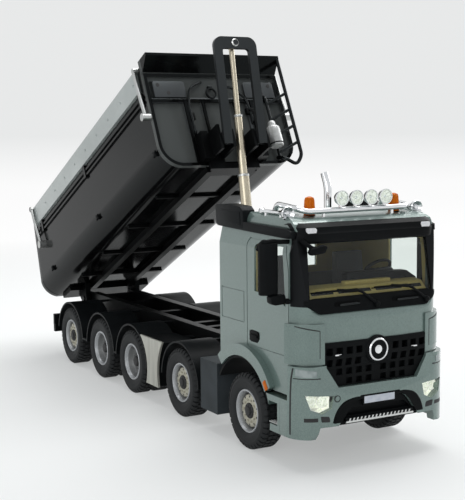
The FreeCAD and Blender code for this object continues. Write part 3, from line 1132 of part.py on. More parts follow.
def bed_gear():
    cover = prism("cover_strip", "YZ_Plane", [[
        ("bed_half", "cover_low"), ("bed_half + cover_stand", "cover_low + 0.2"),
        ("bed_half + cover_stand", "bed_top - 0.5"), ("bed_half - 0.3", "bed_top + 0.7", "1.3"),
        ("bed_half - 0.9", "bed_top + 0.7"), ("bed_half - 0.9", "bed_top"), ("bed_half", "bed_top"),
    ]], "cover_back", "cover_front")
    node("bed_covers", both_sides("cover_pair", cover), "bed")
    out = "bed_half + 1.6"
    front = tube("lever_front", [
        ("cover_front + 0.8", out, "bed_top - 0.4"), ("cover_front + 1.2", out, "cover_low + 1"),
        ("cover_front + 2.6", out, "cover_low - 9.8"),
    ], "0.6")
    knob = rod("lever_knob", ("cover_front + 2.6", "bed_half", "cover_low - 9.8"), "3.0", "1.25", "Y")
    cap = rod("lever_cap", ("cover_front + 0.9", "bed_half + 0.1", "bed_top - 0.4"), "1.8", "0.8", "Y")
    back = tube("lever_back", [
        ("cover_back - 0.6", out, "bed_top - 0.4"), ("cover_back + 0.4", out, "cover_low + 1"),
        ("cover_back + 3.2", out, "cover_low - 9.2"),
    ], "0.6")
    disc = rod("lever_disc", ("cover_back + 3.2", "bed_half", "cover_low - 9.2"), "2.6", "1.5", "Y")
    cap_back = rod("lever_cap_back", ("cover_back - 0.6", "bed_half + 1.0", "bed_top - 0.4"), "0.9", "0.8", "Y")
    levers = group("lever_set", fuse("lever_one", front, knob, cap), fuse("lever_two", back, disc, cap_back))
    node("tarp_levers", both_sides("lever_pair", levers), "bed")
    rail = tube("ladder_rail", [
        ("bed_front + 1.5", "bed_half - 0.2", "canopy_foot - 1.2"), ("bed_front + 4.4", "bed_half - 0.2", "canopy_foot - 5"),
        ("bed_front + 6.0", "bed_half - 1.0", "bed_floor + 1.6"), ("bed_front + 5.2", "bed_half - 4", "bed_floor - 1.4"),
        ("bed_front + 1.2", "bed_half - 6.1", "bed_floor + 1.6"),
    ], "0.55")
    rungs = []
    for number in range(5):
        height = f"bed_floor + {4.2 + number * 4.4}"
        rungs.append(tube(f"rung_{number}", [
            (f"bed_front + 5.9 - {number * 0.18}", f"bed_half - 0.95", height),
            (f"bed_front + 5.0 - {number * 0.1}", "bed_half - 6.1", f"{height} - 0.4"),
        ], "0.45"))
    inner = tube("ladder_inner", [
        ("bed_front + 1.2", "bed_half - 6.1", "bed_floor + 25"), ("bed_front + 4.4", "bed_half - 6.1", "bed_floor + 23"),
        ("bed_front + 5.0", "bed_half - 6.1", "bed_floor + 2.6"), ("bed_front + 1.2", "bed_half - 6.1", "bed_floor + 1.6"),
    ], "0.5")
    node("bed_ladder", fuse("ladder_all", rail, inner, *rungs), "bed")
    bottle = rod("bottle_body", ("bed_front + 4.6", "15.2", "bed_floor + 4.1"), "8.0", "2.4")
    neck = rod("bottle_neck", ("bed_front + 4.6", "15.2", "bed_floor + 12"), "1.4", "1.0")
    strap = block("bottle_strap", ("bed_front + 0.9", "14.0", "bed_floor + 6"),
                  ("bed_front + 3.4", "16.4", "bed_floor + 10.6"))
    node("bottle", fuse("bottle_all", bottle, neck, strap), "bed")


def tailgate():
    face = prism("gate_face", "XZ_Plane", [[
        ("bed_tail_top - gate_gap", "bed_top"), ("gate_top_x", "bed_top"),
        ("gate_low_x", "bed_floor + 0.2"), ("bed_tail_low - gate_gap", "bed_floor + 0.2"),
    ]], "-(bed_half - 0.1)", "bed_half - 0.1")
    clip = prism("gate_clip", "YZ_Plane", [[
        ("-bed_half", "bed_top + 1"), ("-bed_half", "bed_floor + bed_round"),
        ("-(bed_half - bed_round)", "bed_floor", "bed_round"), ("bed_half - bed_round", "bed_floor"),
        ("bed_half", "bed_floor + bed_round", "bed_round"), ("bed_half", "bed_top + 1"),
    ]], "gate_low_x - 3", "bed_tail_top + 1")
    lug = prism("gate_lug_solid", "XZ_Plane", [[
        ("gate_pin_x - gate_lug", "bed_top - 0.6"), ("gate_pin_x + gate_lug", "bed_top - 0.6"),
        ("gate_pin_x + gate_lug", "gate_pin_z"), ("gate_pin_x", "gate_pin_z + gate_lug", "gate_lug"),
        ("gate_pin_x - gate_lug", "gate_pin_z", "gate_lug"),
    ]], "bed_half - 2.6", "bed_half - 1.2")
    lug_cut = cut("lug_cut", lug, rod("lug_bore", ("gate_pin_x", "bed_half - 4", "gate_pin_z"), "4", "gate_pin + play", "Y"))
    node("tailgate", fuse("gate_all", common("gate_form", face, clip), lug_cut, mirror("lug_other", lug_cut)), "bed")


def gate_posts():
    post = prism("gate_post", "XZ_Plane", [[
        ("gate_pin_x - gate_lug", "gate_pin_z", "gate_lug"),
        ("gate_pin_x", "gate_pin_z - gate_lug", "gate_lug"), ("bed_tail_top + 1", "bed_top - 2.6"),
        ("bed_tail_top + 3", "bed_top - 2.6"), ("bed_tail_top + 3", "bed_top - 0.1"),
        ("gate_pin_x", "gate_pin_z + gate_lug"),
    ]], "bed_half", "bed_half + 0.9")
    pin = rod("gate_pin_solid", ("gate_pin_x", "bed_half - 2.8", "gate_pin_z"), "3.7", "gate_pin", "Y")
    return both_sides("post_pair", fuse("post_all", post, pin))


# Yoke: a flat U of plate whose feet turn on pins low on the front wall, drawn upright at its foot.
def yoke():
    front = "rod_radius + eye_gap"
    back_face, front_face = front, f"{front} + yoke_plate"
    top = "yoke_length + yoke_crown"
    leg_in = "yoke_half - yoke_leg"
    plate = prism("yoke_plate_solid", "YZ_Plane", [[
        ("-yoke_half", "0"), (f"-({leg_in})", "0"),
        (f"-({leg_in})", "yoke_length - yoke_crown - 1"), (f"-({leg_in} - 1)", "yoke_length - yoke_crown", "-1"),
        (f"{leg_in} - 1", "yoke_length - yoke_crown"), (leg_in, "yoke_length - yoke_crown - 1", "-1"),
        (leg_in, "0"), ("yoke_half", "0"), ("yoke_half", f"{top} - 3"), ("yoke_half - 3", top, "3"),
        ("-(yoke_half - 3)", top), ("-yoke_half", f"{top} - 3", "3"),
    ]], back_face, front_face)
    foot = prism("yoke_foot", "XZ_Plane", [[
        ("-yoke_pin * 2", "0", "yoke_pin * 2"), ("0", "-yoke_pin * 2", "yoke_pin * 2"),
        (front_face, "-yoke_pin * 2"), (front_face, "yoke_pin * 3"), (back_face, "yoke_pin * 3"),
        ("0", "yoke_pin * 2"),
    ]], leg_in, "yoke_half")
    foot_cut = cut("yoke_foot_cut", foot,
                   rod("yoke_foot_bore", ("0", "0", "0"), "yoke_half + 1", "yoke_pin + play", "Y"))
    screw = rod("yoke_screw", (back_face, "0", "yoke_length"), "yoke_plate + 0.5", "0.9", "X")
    whole = fuse("yoke_all", plate, foot_cut, mirror("yoke_foot_other", foot_cut), screw)
    turn_to(whole, "bed_tilt - yoke_lean",
            "hinge_x + (foot_x - hinge_x) * lean_cos - (foot_z - hinge_z) * lean_sin - middle_x", "0",
            "hinge_z + (foot_x - hinge_x) * lean_sin + (foot_z - hinge_z) * lean_cos")
    node("yoke", whole, "itself")


# Lifting cylinder: a barrel on the cradle pin and three stages that slide out of each other,
# drawn upright from the pin.
def ram():
    eye = rod("barrel_eye", ("0", "0.3 - barrel_radius", "0"), "barrel_radius * 2 - 0.6", "barrel_radius - 0.2", "Y")
    skin = rod("barrel_skin", ("0", "0", "0"), "barrel_length", "barrel_radius")
    bore = rod("barrel_bore", ("0", "0", "barrel_radius + 1"), "barrel_length", "barrel_radius - stage_wall")
    pin_hole = rod("barrel_pin_hole", ("0", "-barrel_radius - 1", "0"), "barrel_radius * 2 + 2",
                   "pivot_pin + play", "Y")
    stages = [("cylinder_barrel", cut("barrel_all", fuse("barrel_solid", eye, skin), bore, pin_hole), "0")]
    outer = "barrel_radius - stage_wall - play"
    foot = "barrel_radius + 1.4"
    reach = "barrel_length"
    for number in (1, 2):
        reach = f"{reach} + collar_step"
        bar = rod(f"stage_{number}_skin", ("0", "0", foot), f"{reach} - ({foot})", outer)
        inside = f"{outer} - stage_wall"
        hole = rod(f"stage_{number}_bore", ("0", "0", f"{foot} + 0.6"), reach, inside)
        stages.append((f"cylinder_stage_{number}", cut(f"stage_{number}_all", bar, hole), f"stage_out * {number}"))
        outer = f"{inside} - play"
        foot = f"{foot} + 1.0"
    bar = rod("rod_bar", ("0", "0", foot), f"closed_reach + rod_head / 2 - ({foot})", "rod_radius")
    head = rod("rod_head_solid", ("0", "0", "closed_reach - rod_head / 2"), "rod_head", "rod_radius + eye_gap / 2")
    stages.append(("cylinder_rod", fuse("rod_all", bar, head), "stage_out * 3"))
    for name, piece, out in stages:
        turn_to(piece, "ram_lean", f"pivot_x - middle_x - ({out}) * sin(ram_lean * 1deg)", "0",
                f"pivot_z + ({out}) * cos(ram_lean * 1deg)")
        node(name, piece, "itself")


# Finish: write every sub-part to its own file.
def finish():
    doc.recompute()
    for thing in doc.Objects:
        if {"Invalid", "Error"} & set(thing.State):
            raise RuntimeError(f"{thing.Label} did not build: {thing.State}")
    for name, piece in NODES.items():
        if piece.Shape.isNull() or not piece.Shape.isValid():
            raise RuntimeError(f"{name} is not a valid solid")
    os.makedirs("parts", exist_ok=True)
    for name, piece in NODES.items():
        piece.Shape.exportStep(f"parts/{name}.step")


chassis_frame()
axles()
power()
for axle_number, axle_place in ((1, "0"), (2, "axle_two")):
    for hand in "lr":
        knuckle(axle_number, hand, axle_place)
        single_wheel(axle_number, hand, axle_place)
for axle_number, axle_place in ((3, "axle_three"), (4, "axle_four"), (5, "axle_five")):
    wheelset(axle_number, axle_place)
cab_shell()
glazing()
interior()
grille()
wiper_panel()
roof_trim()
roof_gear()
bumper()
front_fittings()
steps()
flares()
deflectors()
mirrors()
exhaust()
side_gear()
fenders()
tail()
bed_shell()
bed_frame()
bed_gear()
tailgate()
yoke()
ram()
finish()
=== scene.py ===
import math
import json

import bpy
import bmesh
from mathutils import Matrix, Vector


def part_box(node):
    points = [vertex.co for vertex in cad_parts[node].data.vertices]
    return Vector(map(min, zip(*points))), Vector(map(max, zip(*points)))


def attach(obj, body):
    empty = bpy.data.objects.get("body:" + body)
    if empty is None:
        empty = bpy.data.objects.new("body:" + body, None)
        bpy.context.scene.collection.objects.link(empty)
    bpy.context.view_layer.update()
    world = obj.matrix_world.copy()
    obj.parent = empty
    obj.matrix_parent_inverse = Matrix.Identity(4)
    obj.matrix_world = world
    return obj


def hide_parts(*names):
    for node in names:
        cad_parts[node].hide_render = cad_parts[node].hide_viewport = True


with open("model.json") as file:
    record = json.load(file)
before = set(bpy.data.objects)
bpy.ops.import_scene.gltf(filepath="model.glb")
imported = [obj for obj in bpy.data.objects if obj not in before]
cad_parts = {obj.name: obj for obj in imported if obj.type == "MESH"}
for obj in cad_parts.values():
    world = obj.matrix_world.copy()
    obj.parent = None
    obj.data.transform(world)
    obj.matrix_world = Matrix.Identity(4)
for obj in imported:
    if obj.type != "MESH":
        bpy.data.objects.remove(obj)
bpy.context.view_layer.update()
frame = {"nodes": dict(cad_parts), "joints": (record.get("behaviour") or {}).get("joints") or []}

MM = 0.001

# Camera: a close view from the truck's right front, a little above its roof, as a person takes it
# of a model on a table.
image_height = 500
camera_place = (332.12 * MM, -172.15 * MM, 87.31 * MM)
camera_yaw, camera_pitch, camera_roll = 150.923, -6.142, -0.525
focal_pixels = 1109.4

camera_data = bpy.data.cameras.new("camera")
camera_data.sensor_fit = "VERTICAL"
camera_data.sensor_height = 36
camera_data.lens = focal_pixels / image_height * camera_data.sensor_height
camera_data.clip_start = 0.01
camera = bpy.data.objects.new("camera", camera_data)
bpy.context.collection.objects.link(camera)
camera.matrix_world = (
    Matrix.Translation(camera_place)
    @ Matrix.Rotation(math.radians(camera_yaw - 90), 4, "Z")
    @ Matrix.Rotation(math.radians(90 + camera_pitch), 4, "X")
    @ Matrix.Rotation(math.radians(camera_roll), 4, "Z")
)
bpy.context.scene.camera = camera


# Studio: a pale sweep of table and wall, three soft lamps and a pale world. Camera, mirror and
# glass rays see the sweep a little lighter than the lamps make it.
class Wire:
    """One output of a tree's nodes, on which sums can be written."""

    def __init__(self, nodes, socket):
        self.nodes = nodes
        self.socket = socket

    def sum(self, operation, *others):
        return self.nodes.add("ShaderNodeMath", {"operation": operation}, (self, *others))

    def __add__(self, other):
        return self.sum("ADD", other)

    def __sub__(self, other):
        return self.sum("SUBTRACT", other)

    def __rsub__(self, other):
        return self.nodes.add("ShaderNodeMath", {"operation": "SUBTRACT"}, (other, self))

    def __mul__(self, other):
        return self.sum("MULTIPLY", other)

    def __truediv__(self, other):
        return self.sum("DIVIDE", other)

    __radd__ = __add__

    def over(self, limit):
        return self.sum("GREATER_THAN", limit)

    def under(self, limit):
        return self.sum("LESS_THAN", limit)

    def between(self, low, high):
        """0 below low, 1 above high, straight between them."""
        return self.nodes.add("ShaderNodeMapRange", {"clamp": True}, {
            "Value": self, "From Min": low, "From Max": high})


class Nodes:
    """A tree of nodes being made. An input takes a wire, a socket or a plain value."""

    def __init__(self, tree):
        self.tree = tree

    def add(self, kind, settings=None, values=None, output=0):
        node = self.tree.nodes.new(kind)
        for field, setting in (settings or {}).items():
            setattr(node, field, setting)
        pairs = values.items() if isinstance(values, dict) else enumerate(values or ())
        for place, given in pairs:
            self.feed(node.inputs[place], given)
        return Wire(self, node.outputs[output]) if node.outputs else node

    def feed(self, socket, given):
        given = given.socket if isinstance(given, Wire) else given
        if isinstance(given, bpy.types.NodeSocket):
            self.tree.links.new(given, socket)
        elif isinstance(given, tuple) and socket.type == "RGBA" and len(given) == 3:
            socket.default_value = (*given, 1)
        else:
            socket.default_value = given

    def looked_at(self):
        """1 for camera, mirror and glass rays, 0 for the others."""
        path = self.tree.nodes.new("ShaderNodeLightPath")
        seen = [Wire(self, path.outputs[f"Is {ray} Ray"])
                for ray in ("Camera", "Glossy", "Transmission")]
        return (seen[0] + seen[1] + seen[2]).sum("MINIMUM", 1.0)


class Finish(Nodes):
    """A material being made: nodes are added one by one, and surface() closes it."""

    def __init__(self, name):
        self.material = bpy.data.materials.new(name)
        self.material.use_nodes = True
        super().__init__(self.material.node_tree)
        self.tree.nodes.clear()

    def place(self, scale=1.0, stretch=(1, 1, 1)):
        """The point on the object, in millimetres times a scale."""
        point = self.add("ShaderNodeTexCoord", output="Object")
        size = tuple(scale / MM * part for part in stretch)
        return self.add("ShaderNodeMapping", None, {"Vector": point, "Scale": size})

    def axes(self):
        """The point's x, y and z in millimetres."""
        point = self.add("ShaderNodeTexCoord", output="Object")
        return [self.add("ShaderNodeSeparateXYZ", None, {0: point}, output=axis) / MM
                for axis in range(3)]

    def noise(self, scale, detail=2.0, roughness=0.5, stretch=(1, 1, 1)):
        return self.add("ShaderNodeTexNoise", None, {
            "Vector": self.place(scale, stretch), "Scale": 1.0, "Detail": detail,
            "Roughness": roughness})

    def mix(self, amount, first, second):
        return self.add("ShaderNodeMix", {"data_type": "RGBA"}, {0: amount, 6: first, 7: second},
                        output=2)

    def bump(self, height, strength, distance=0.05):
        return self.add("ShaderNodeBump", None, {
            "Height": height, "Strength": strength, "Distance": distance * MM})

    def surface(self, **values):
        shader = self.add("ShaderNodeBsdfPrincipled", None, {
            name.replace("_", " "): given for name, given in values.items()})
        return self.close(shader)

    def close(self, shader):
        self.add("ShaderNodeOutputMaterial", None, {"Surface": shader})
        return self.material


# How far from the truck the painted shade round it ends and the card turns white, and how high
# the wall's tone is reached, in metres.
painted_shade_ends, white_starts, wall_starts = 0.2, 0.55, 0.08


def sweep_finish():
    """Matt white card, seen lighter, with painted shade near the truck; the real shadow stays on
    it.
    """
    finish = Finish("white sweep")
    card = finish.add("ShaderNodeBsdfDiffuse", None, {"Color": (0.93, 0.94, 0.935)})
    spot = finish.add("ShaderNodeTexCoord", output="Object")
    height = finish.add("ShaderNodeSeparateXYZ", None, {0: spot}, output=2)
    distance = finish.add("ShaderNodeVectorMath", {"operation": "LENGTH"}, {0: spot},
                          output="Value")
    away = distance.between(painted_shade_ends, white_starts)
    # Painted shade: the glow is greyer near the truck and white further out.
    near = finish.mix(away, (0.80, 0.815, 0.81), (1.0, 1.0, 1.0))
    tone = finish.mix(height.between(0.0, wall_starts), near, (0.83, 0.84, 0.84))
    glow = finish.add("ShaderNodeEmission", None, {"Color": tone, "Strength": 1.0})
    share = finish.looked_at() * (away * 0.5 + 0.45)
    return finish.close(finish.add("ShaderNodeMixShader", None, {0: share, 1: card, 2: glow}))


sweep_size = 6.0
sweep_wall = 1.4
sweep_bend = 0.6
sweep_steps = 14
sweep_line = [(-sweep_size / 2, 0.0), (sweep_wall, 0.0)]
for step in range(1, sweep_steps + 1):
    turn = math.pi / 2 * step / sweep_steps
    sweep_line.append((sweep_wall + sweep_bend * math.sin(turn), sweep_bend * (1 - math.cos(turn))))
sweep_line.append((sweep_wall + sweep_bend, sweep_size / 2))
sweep_mesh = bpy.data.meshes.new("sweep")
sweep_points = [(along, side * sweep_size / 2, up) for along, up in sweep_line for side in (-1, 1)]
sweep_faces = [(2 * row, 2 * row + 2, 2 * row + 3, 2 * row + 1)
               for row in range(len(sweep_line) - 1)]
sweep_mesh.from_pydata(sweep_points, [], sweep_faces)
sweep_mesh.transform(Matrix.Rotation(math.radians(camera_yaw), 4, "Z"))
for face in sweep_mesh.polygons:
    face.use_smooth = True
sweep_mesh.materials.append(sweep_finish())
sweep = bpy.data.objects.new("sweep", sweep_mesh)
bpy.context.collection.objects.link(sweep)

world = bpy.data.worlds.new("pale room")
bpy.context.scene.world = world
world.use_nodes = True
room = Nodes(world.node_tree)
lit = room.tree.nodes["Background"]
lit.inputs["Color"].default_value = (0.93, 0.96, 1.0, 1)
lit.inputs["Strength"].default_value = 0.34
mirrored_room = room.add("ShaderNodeBackground", None, {
    "Color": (0.97, 0.985, 1.0), "Strength": 0.85})
choice = room.add("ShaderNodeMixShader", None, {
    0: room.looked_at(), 1: lit.outputs[0], 2: mirrored_room})
room.feed(room.tree.nodes["World Output"].inputs[0], choice)
bpy.context.scene.view_settings.view_transform = "Standard"


def lamp(name, place, target, width, height, power):
    """A soft box of the given width and height in metres, aimed at a point of the truck."""
    data = bpy.data.lights.new(name, "AREA")
    data.shape = "RECTANGLE"
    data.size, data.size_y, data.energy = width, height, power
    soft_box = bpy.data.objects.new(name, data)
    soft_box.location = place
    soft_box.rotation_euler = (Vector(target) - Vector(place)).to_track_quat("-Z", "Y").to_euler()
    bpy.context.collection.objects.link(soft_box)


truck_middle = (0, 0, 0.04)
lamp("overhead soft box", (-0.10, 0.15, 0.62), truck_middle, 0.62, 0.5, 4.0)
lamp("window on the left", (-0.15, 0.75, 0.40), truck_middle, 0.55, 0.5, 2.6)
lamp("fill from the camera's side", (0.45, -0.65, 0.30), truck_middle, 0.5, 0.4, 1.3)


# Cab: one die-cast shell with the door, hatch and handle cast in as grooves, sprayed a metallic
# grey-green under clear lacquer. The posts beside the windscreen are masked off in black and the
# inside is left in the tan of the cab's lining.
tyre_low, tyre_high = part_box("tyre_1l")
front_axle_x = (tyre_low.x + tyre_high.x) / 2 / MM


def coat_nodes(material, *names):
    """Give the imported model's own pieces a material."""
    for name in names:
        mesh = frame["nodes"][name].data
        mesh.materials.clear()
        mesh.materials.append(material)


def paint_layers(finish):
    """Metallic grey-green paint: cloudy at arm's length and flecked close up."""
    cloud = finish.noise(0.035, 2.0).between(0.3, 0.7)
    fleck = finish.noise(7.0, 1.0, 0.7).between(0.35, 0.75)
    body = finish.mix(cloud, (0.117, 0.172, 0.157), (0.141, 0.204, 0.186))
    grain = finish.noise(1.7, 2.0, 0.6).between(0.38, 0.66)
    body = finish.mix(grain * 0.55, body, (0.098, 0.145, 0.132))
    return finish.mix(fleck * 0.4, body, (0.27, 0.35, 0.325))


def cab_paint():
    finish = Finish("grey metallic paint")
    peel = finish.bump(finish.noise(0.9, 2.0), 0.10, 0.02)
    return finish.surface(Base_Color=paint_layers(finish), Metallic=0.35, Roughness=0.34,
                          Coat_Weight=0.8, Coat_Roughness=0.07, Normal=peel)


def cab_shell_paint():
    finish = Finish("cab shell paint")
    post_back, post_low, post_top = front_axle_x + 20.98, 42.4, 61.6
    side, lean_from, lean, inner_roof = 22.45, 56.0, 0.222, 62.6
    back_wall, front_wall = front_axle_x - 15.9, front_axle_x + 19.6
    corner_half, corner_roof, corner_front = 16.4, 62.0, front_axle_x + 21.4
    along, across, up = finish.axes()
    post = (along.over(post_back) * up.over(post_low)) * (1 - up.over(post_top))
    reach = side - (up - lean_from).sum("MAXIMUM", 0.0) * lean
    half = across.sum("ABSOLUTE")
    inside = half.under(reach) * up.under(inner_roof) * along.over(back_wall)
    inside = inside * along.under(front_wall)
    corner = half.under(corner_half) * up.under(corner_roof)
    corner = corner * along.over(front_wall - 0.1) * along.under(corner_front)
    inside = (inside + corner).sum("MINIMUM", 1.0)
    paint = finish.mix(inside, paint_layers(finish), (0.38, 0.30, 0.10))
    colour = finish.mix(post, paint, (0.007, 0.008, 0.009))
    shine = 1 - (inside + post).sum("MINIMUM", 1.0)
    peel = finish.bump(finish.noise(0.9, 2.0), 0.10, 0.02)
    return finish.surface(Base_Color=colour, Metallic=shine * 0.35 + post * 0.85,
                          Roughness=0.42 - shine * 0.08, Coat_Weight=shine * 0.8,
                          Coat_Roughness=0.07, Normal=peel)


grey_paint = cab_paint()
coat_nodes(cab_shell_paint(), "cab_shell")
coat_nodes(grey_paint, "bumper", "wheel_flares", "corner_deflectors", "cab_steps")


# Black mouldings: visor, roof-side fairings, mirrors, cowl, grille and fenders, all in unpainted
# black plastic with a fine spark-eroded grain. The bed and the frame are enamelled instead.
joints = {joint["name"]: joint for joint in frame["joints"]}
hinge_place = Vector(joints["bed_tilt"]["pos_m"])
bed_tilt = math.radians(26)
# The truck's own frame in millimetres, with x = 0 at its front axle. The bed's front wall stands at
# front_face when the bed is lowered on its rails.
truck = Matrix.Translation((front_axle_x * MM, 0, 0)) @ Matrix.Scale(MM, 4)
hinge_in_truck = truck.inverted() @ hinge_place
front_face = -36.4


def black_plastic(name, shade, roughness, grain):
    finish = Finish(name)
    cloud = finish.noise(0.12, 2.0).between(0.3, 0.7)
    colour = finish.mix(cloud, (shade, shade * 1.2, shade * 1.3),
                        (shade * 1.7, shade * 2.0, shade * 2.2))
    bump = finish.bump(finish.noise(grain, 2.0, 0.6), 0.22, 0.02)
    return finish.surface(Base_Color=colour, Roughness=roughness + cloud * 0.08, Normal=bump,
                          Specular_IOR_Level=0.06)


def black_enamel(name, shade, roughness, shine, paint_wall_reflection=False):
    """Black gloss paint. The bed's front wall, which faces the lamps, can be greyed as a painted
    reflection.
    """
    finish = Finish(name)
    cloud = finish.noise(0.05, 3.0).between(0.35, 0.7)
    colour = finish.mix(cloud, (shade, shade * 1.05, shade * 1.1),
                        (shade * 1.5, shade * 1.6, shade * 1.7))
    if paint_wall_reflection:
        spot = finish.add("ShaderNodeTexCoord", output="Object")
        ahead = (math.cos(bed_tilt) / MM, 0.0, math.sin(bed_tilt) / MM)
        along = finish.add("ShaderNodeVectorMath", {"operation": "DOT_PRODUCT"},
                           {0: spot, 1: ahead}, output="Value")
        wall = hinge_place.dot(Vector(ahead)) + front_face - hinge_in_truck.x
        wall_reflection_mask = along.over(wall - 1.0) * along.under(wall + 0.65)
        # Painted reflection: the front wall's face is grey where it would mirror the lamps.
        colour = finish.mix(wall_reflection_mask, colour, (0.082, 0.088, 0.086))
    peel = finish.bump(finish.noise(0.7, 2.0), 0.12, 0.02)
    return finish.surface(Base_Color=colour, Roughness=roughness + cloud * 0.05, Normal=peel,
                          Specular_IOR_Level=shine, Specular_Tint=(0.86, 0.98, 1.0))


moulding = black_plastic("black moulding", 0.0032, 0.42, 5.0)
fender_plastic = black_plastic("fender plastic", 0.0052, 0.34, 4.0)
gloss_enamel = black_enamel("black bed enamel", 0.004, 0.1, 0.24)
frame_enamel = black_enamel("black frame enamel", 0.003, 0.3, 0.07)
coat_nodes(moulding, "sun_visor", "wiper_panel", "grille", "mirrors", "arch_liners", "bumper_guard",
           "side_tanks", "tail_board")
coat_nodes(black_plastic("side box plastic", 0.032, 0.4, 4.0), "side_boxes")
coat_nodes(fender_plastic, "front_fenders", "rear_fenders", "roof_fairings")
coat_nodes(frame_enamel, "chassis_frame", "steered_axles", "axle_housings", "spring_packs",
           "engine_block", "bed_frame", "knuckle_1l", "knuckle_1r", "knuckle_2l", "knuckle_2r")
coat_nodes(gloss_enamel, "tailgate", "bed_ladder")
coat_nodes(black_enamel("yoke enamel", 0.015, 0.3, 0.3), "yoke")
coat_nodes(black_enamel("bed shell enamel", 0.0022, 0.1, 0.105, paint_wall_reflection=True), "bed_shell")


# Roof-side fairings: a black end block behind each roof edge with a thin strip running forward to
# the visor, and a white marker lamp with a bright rim at each end of the visor.
AXES = {"X": Matrix.Rotation(math.pi / 2, 4, "Y"), "Y": Matrix.Rotation(-math.pi / 2, 4, "X"),
        "Z": Matrix()}
SHARP = 32


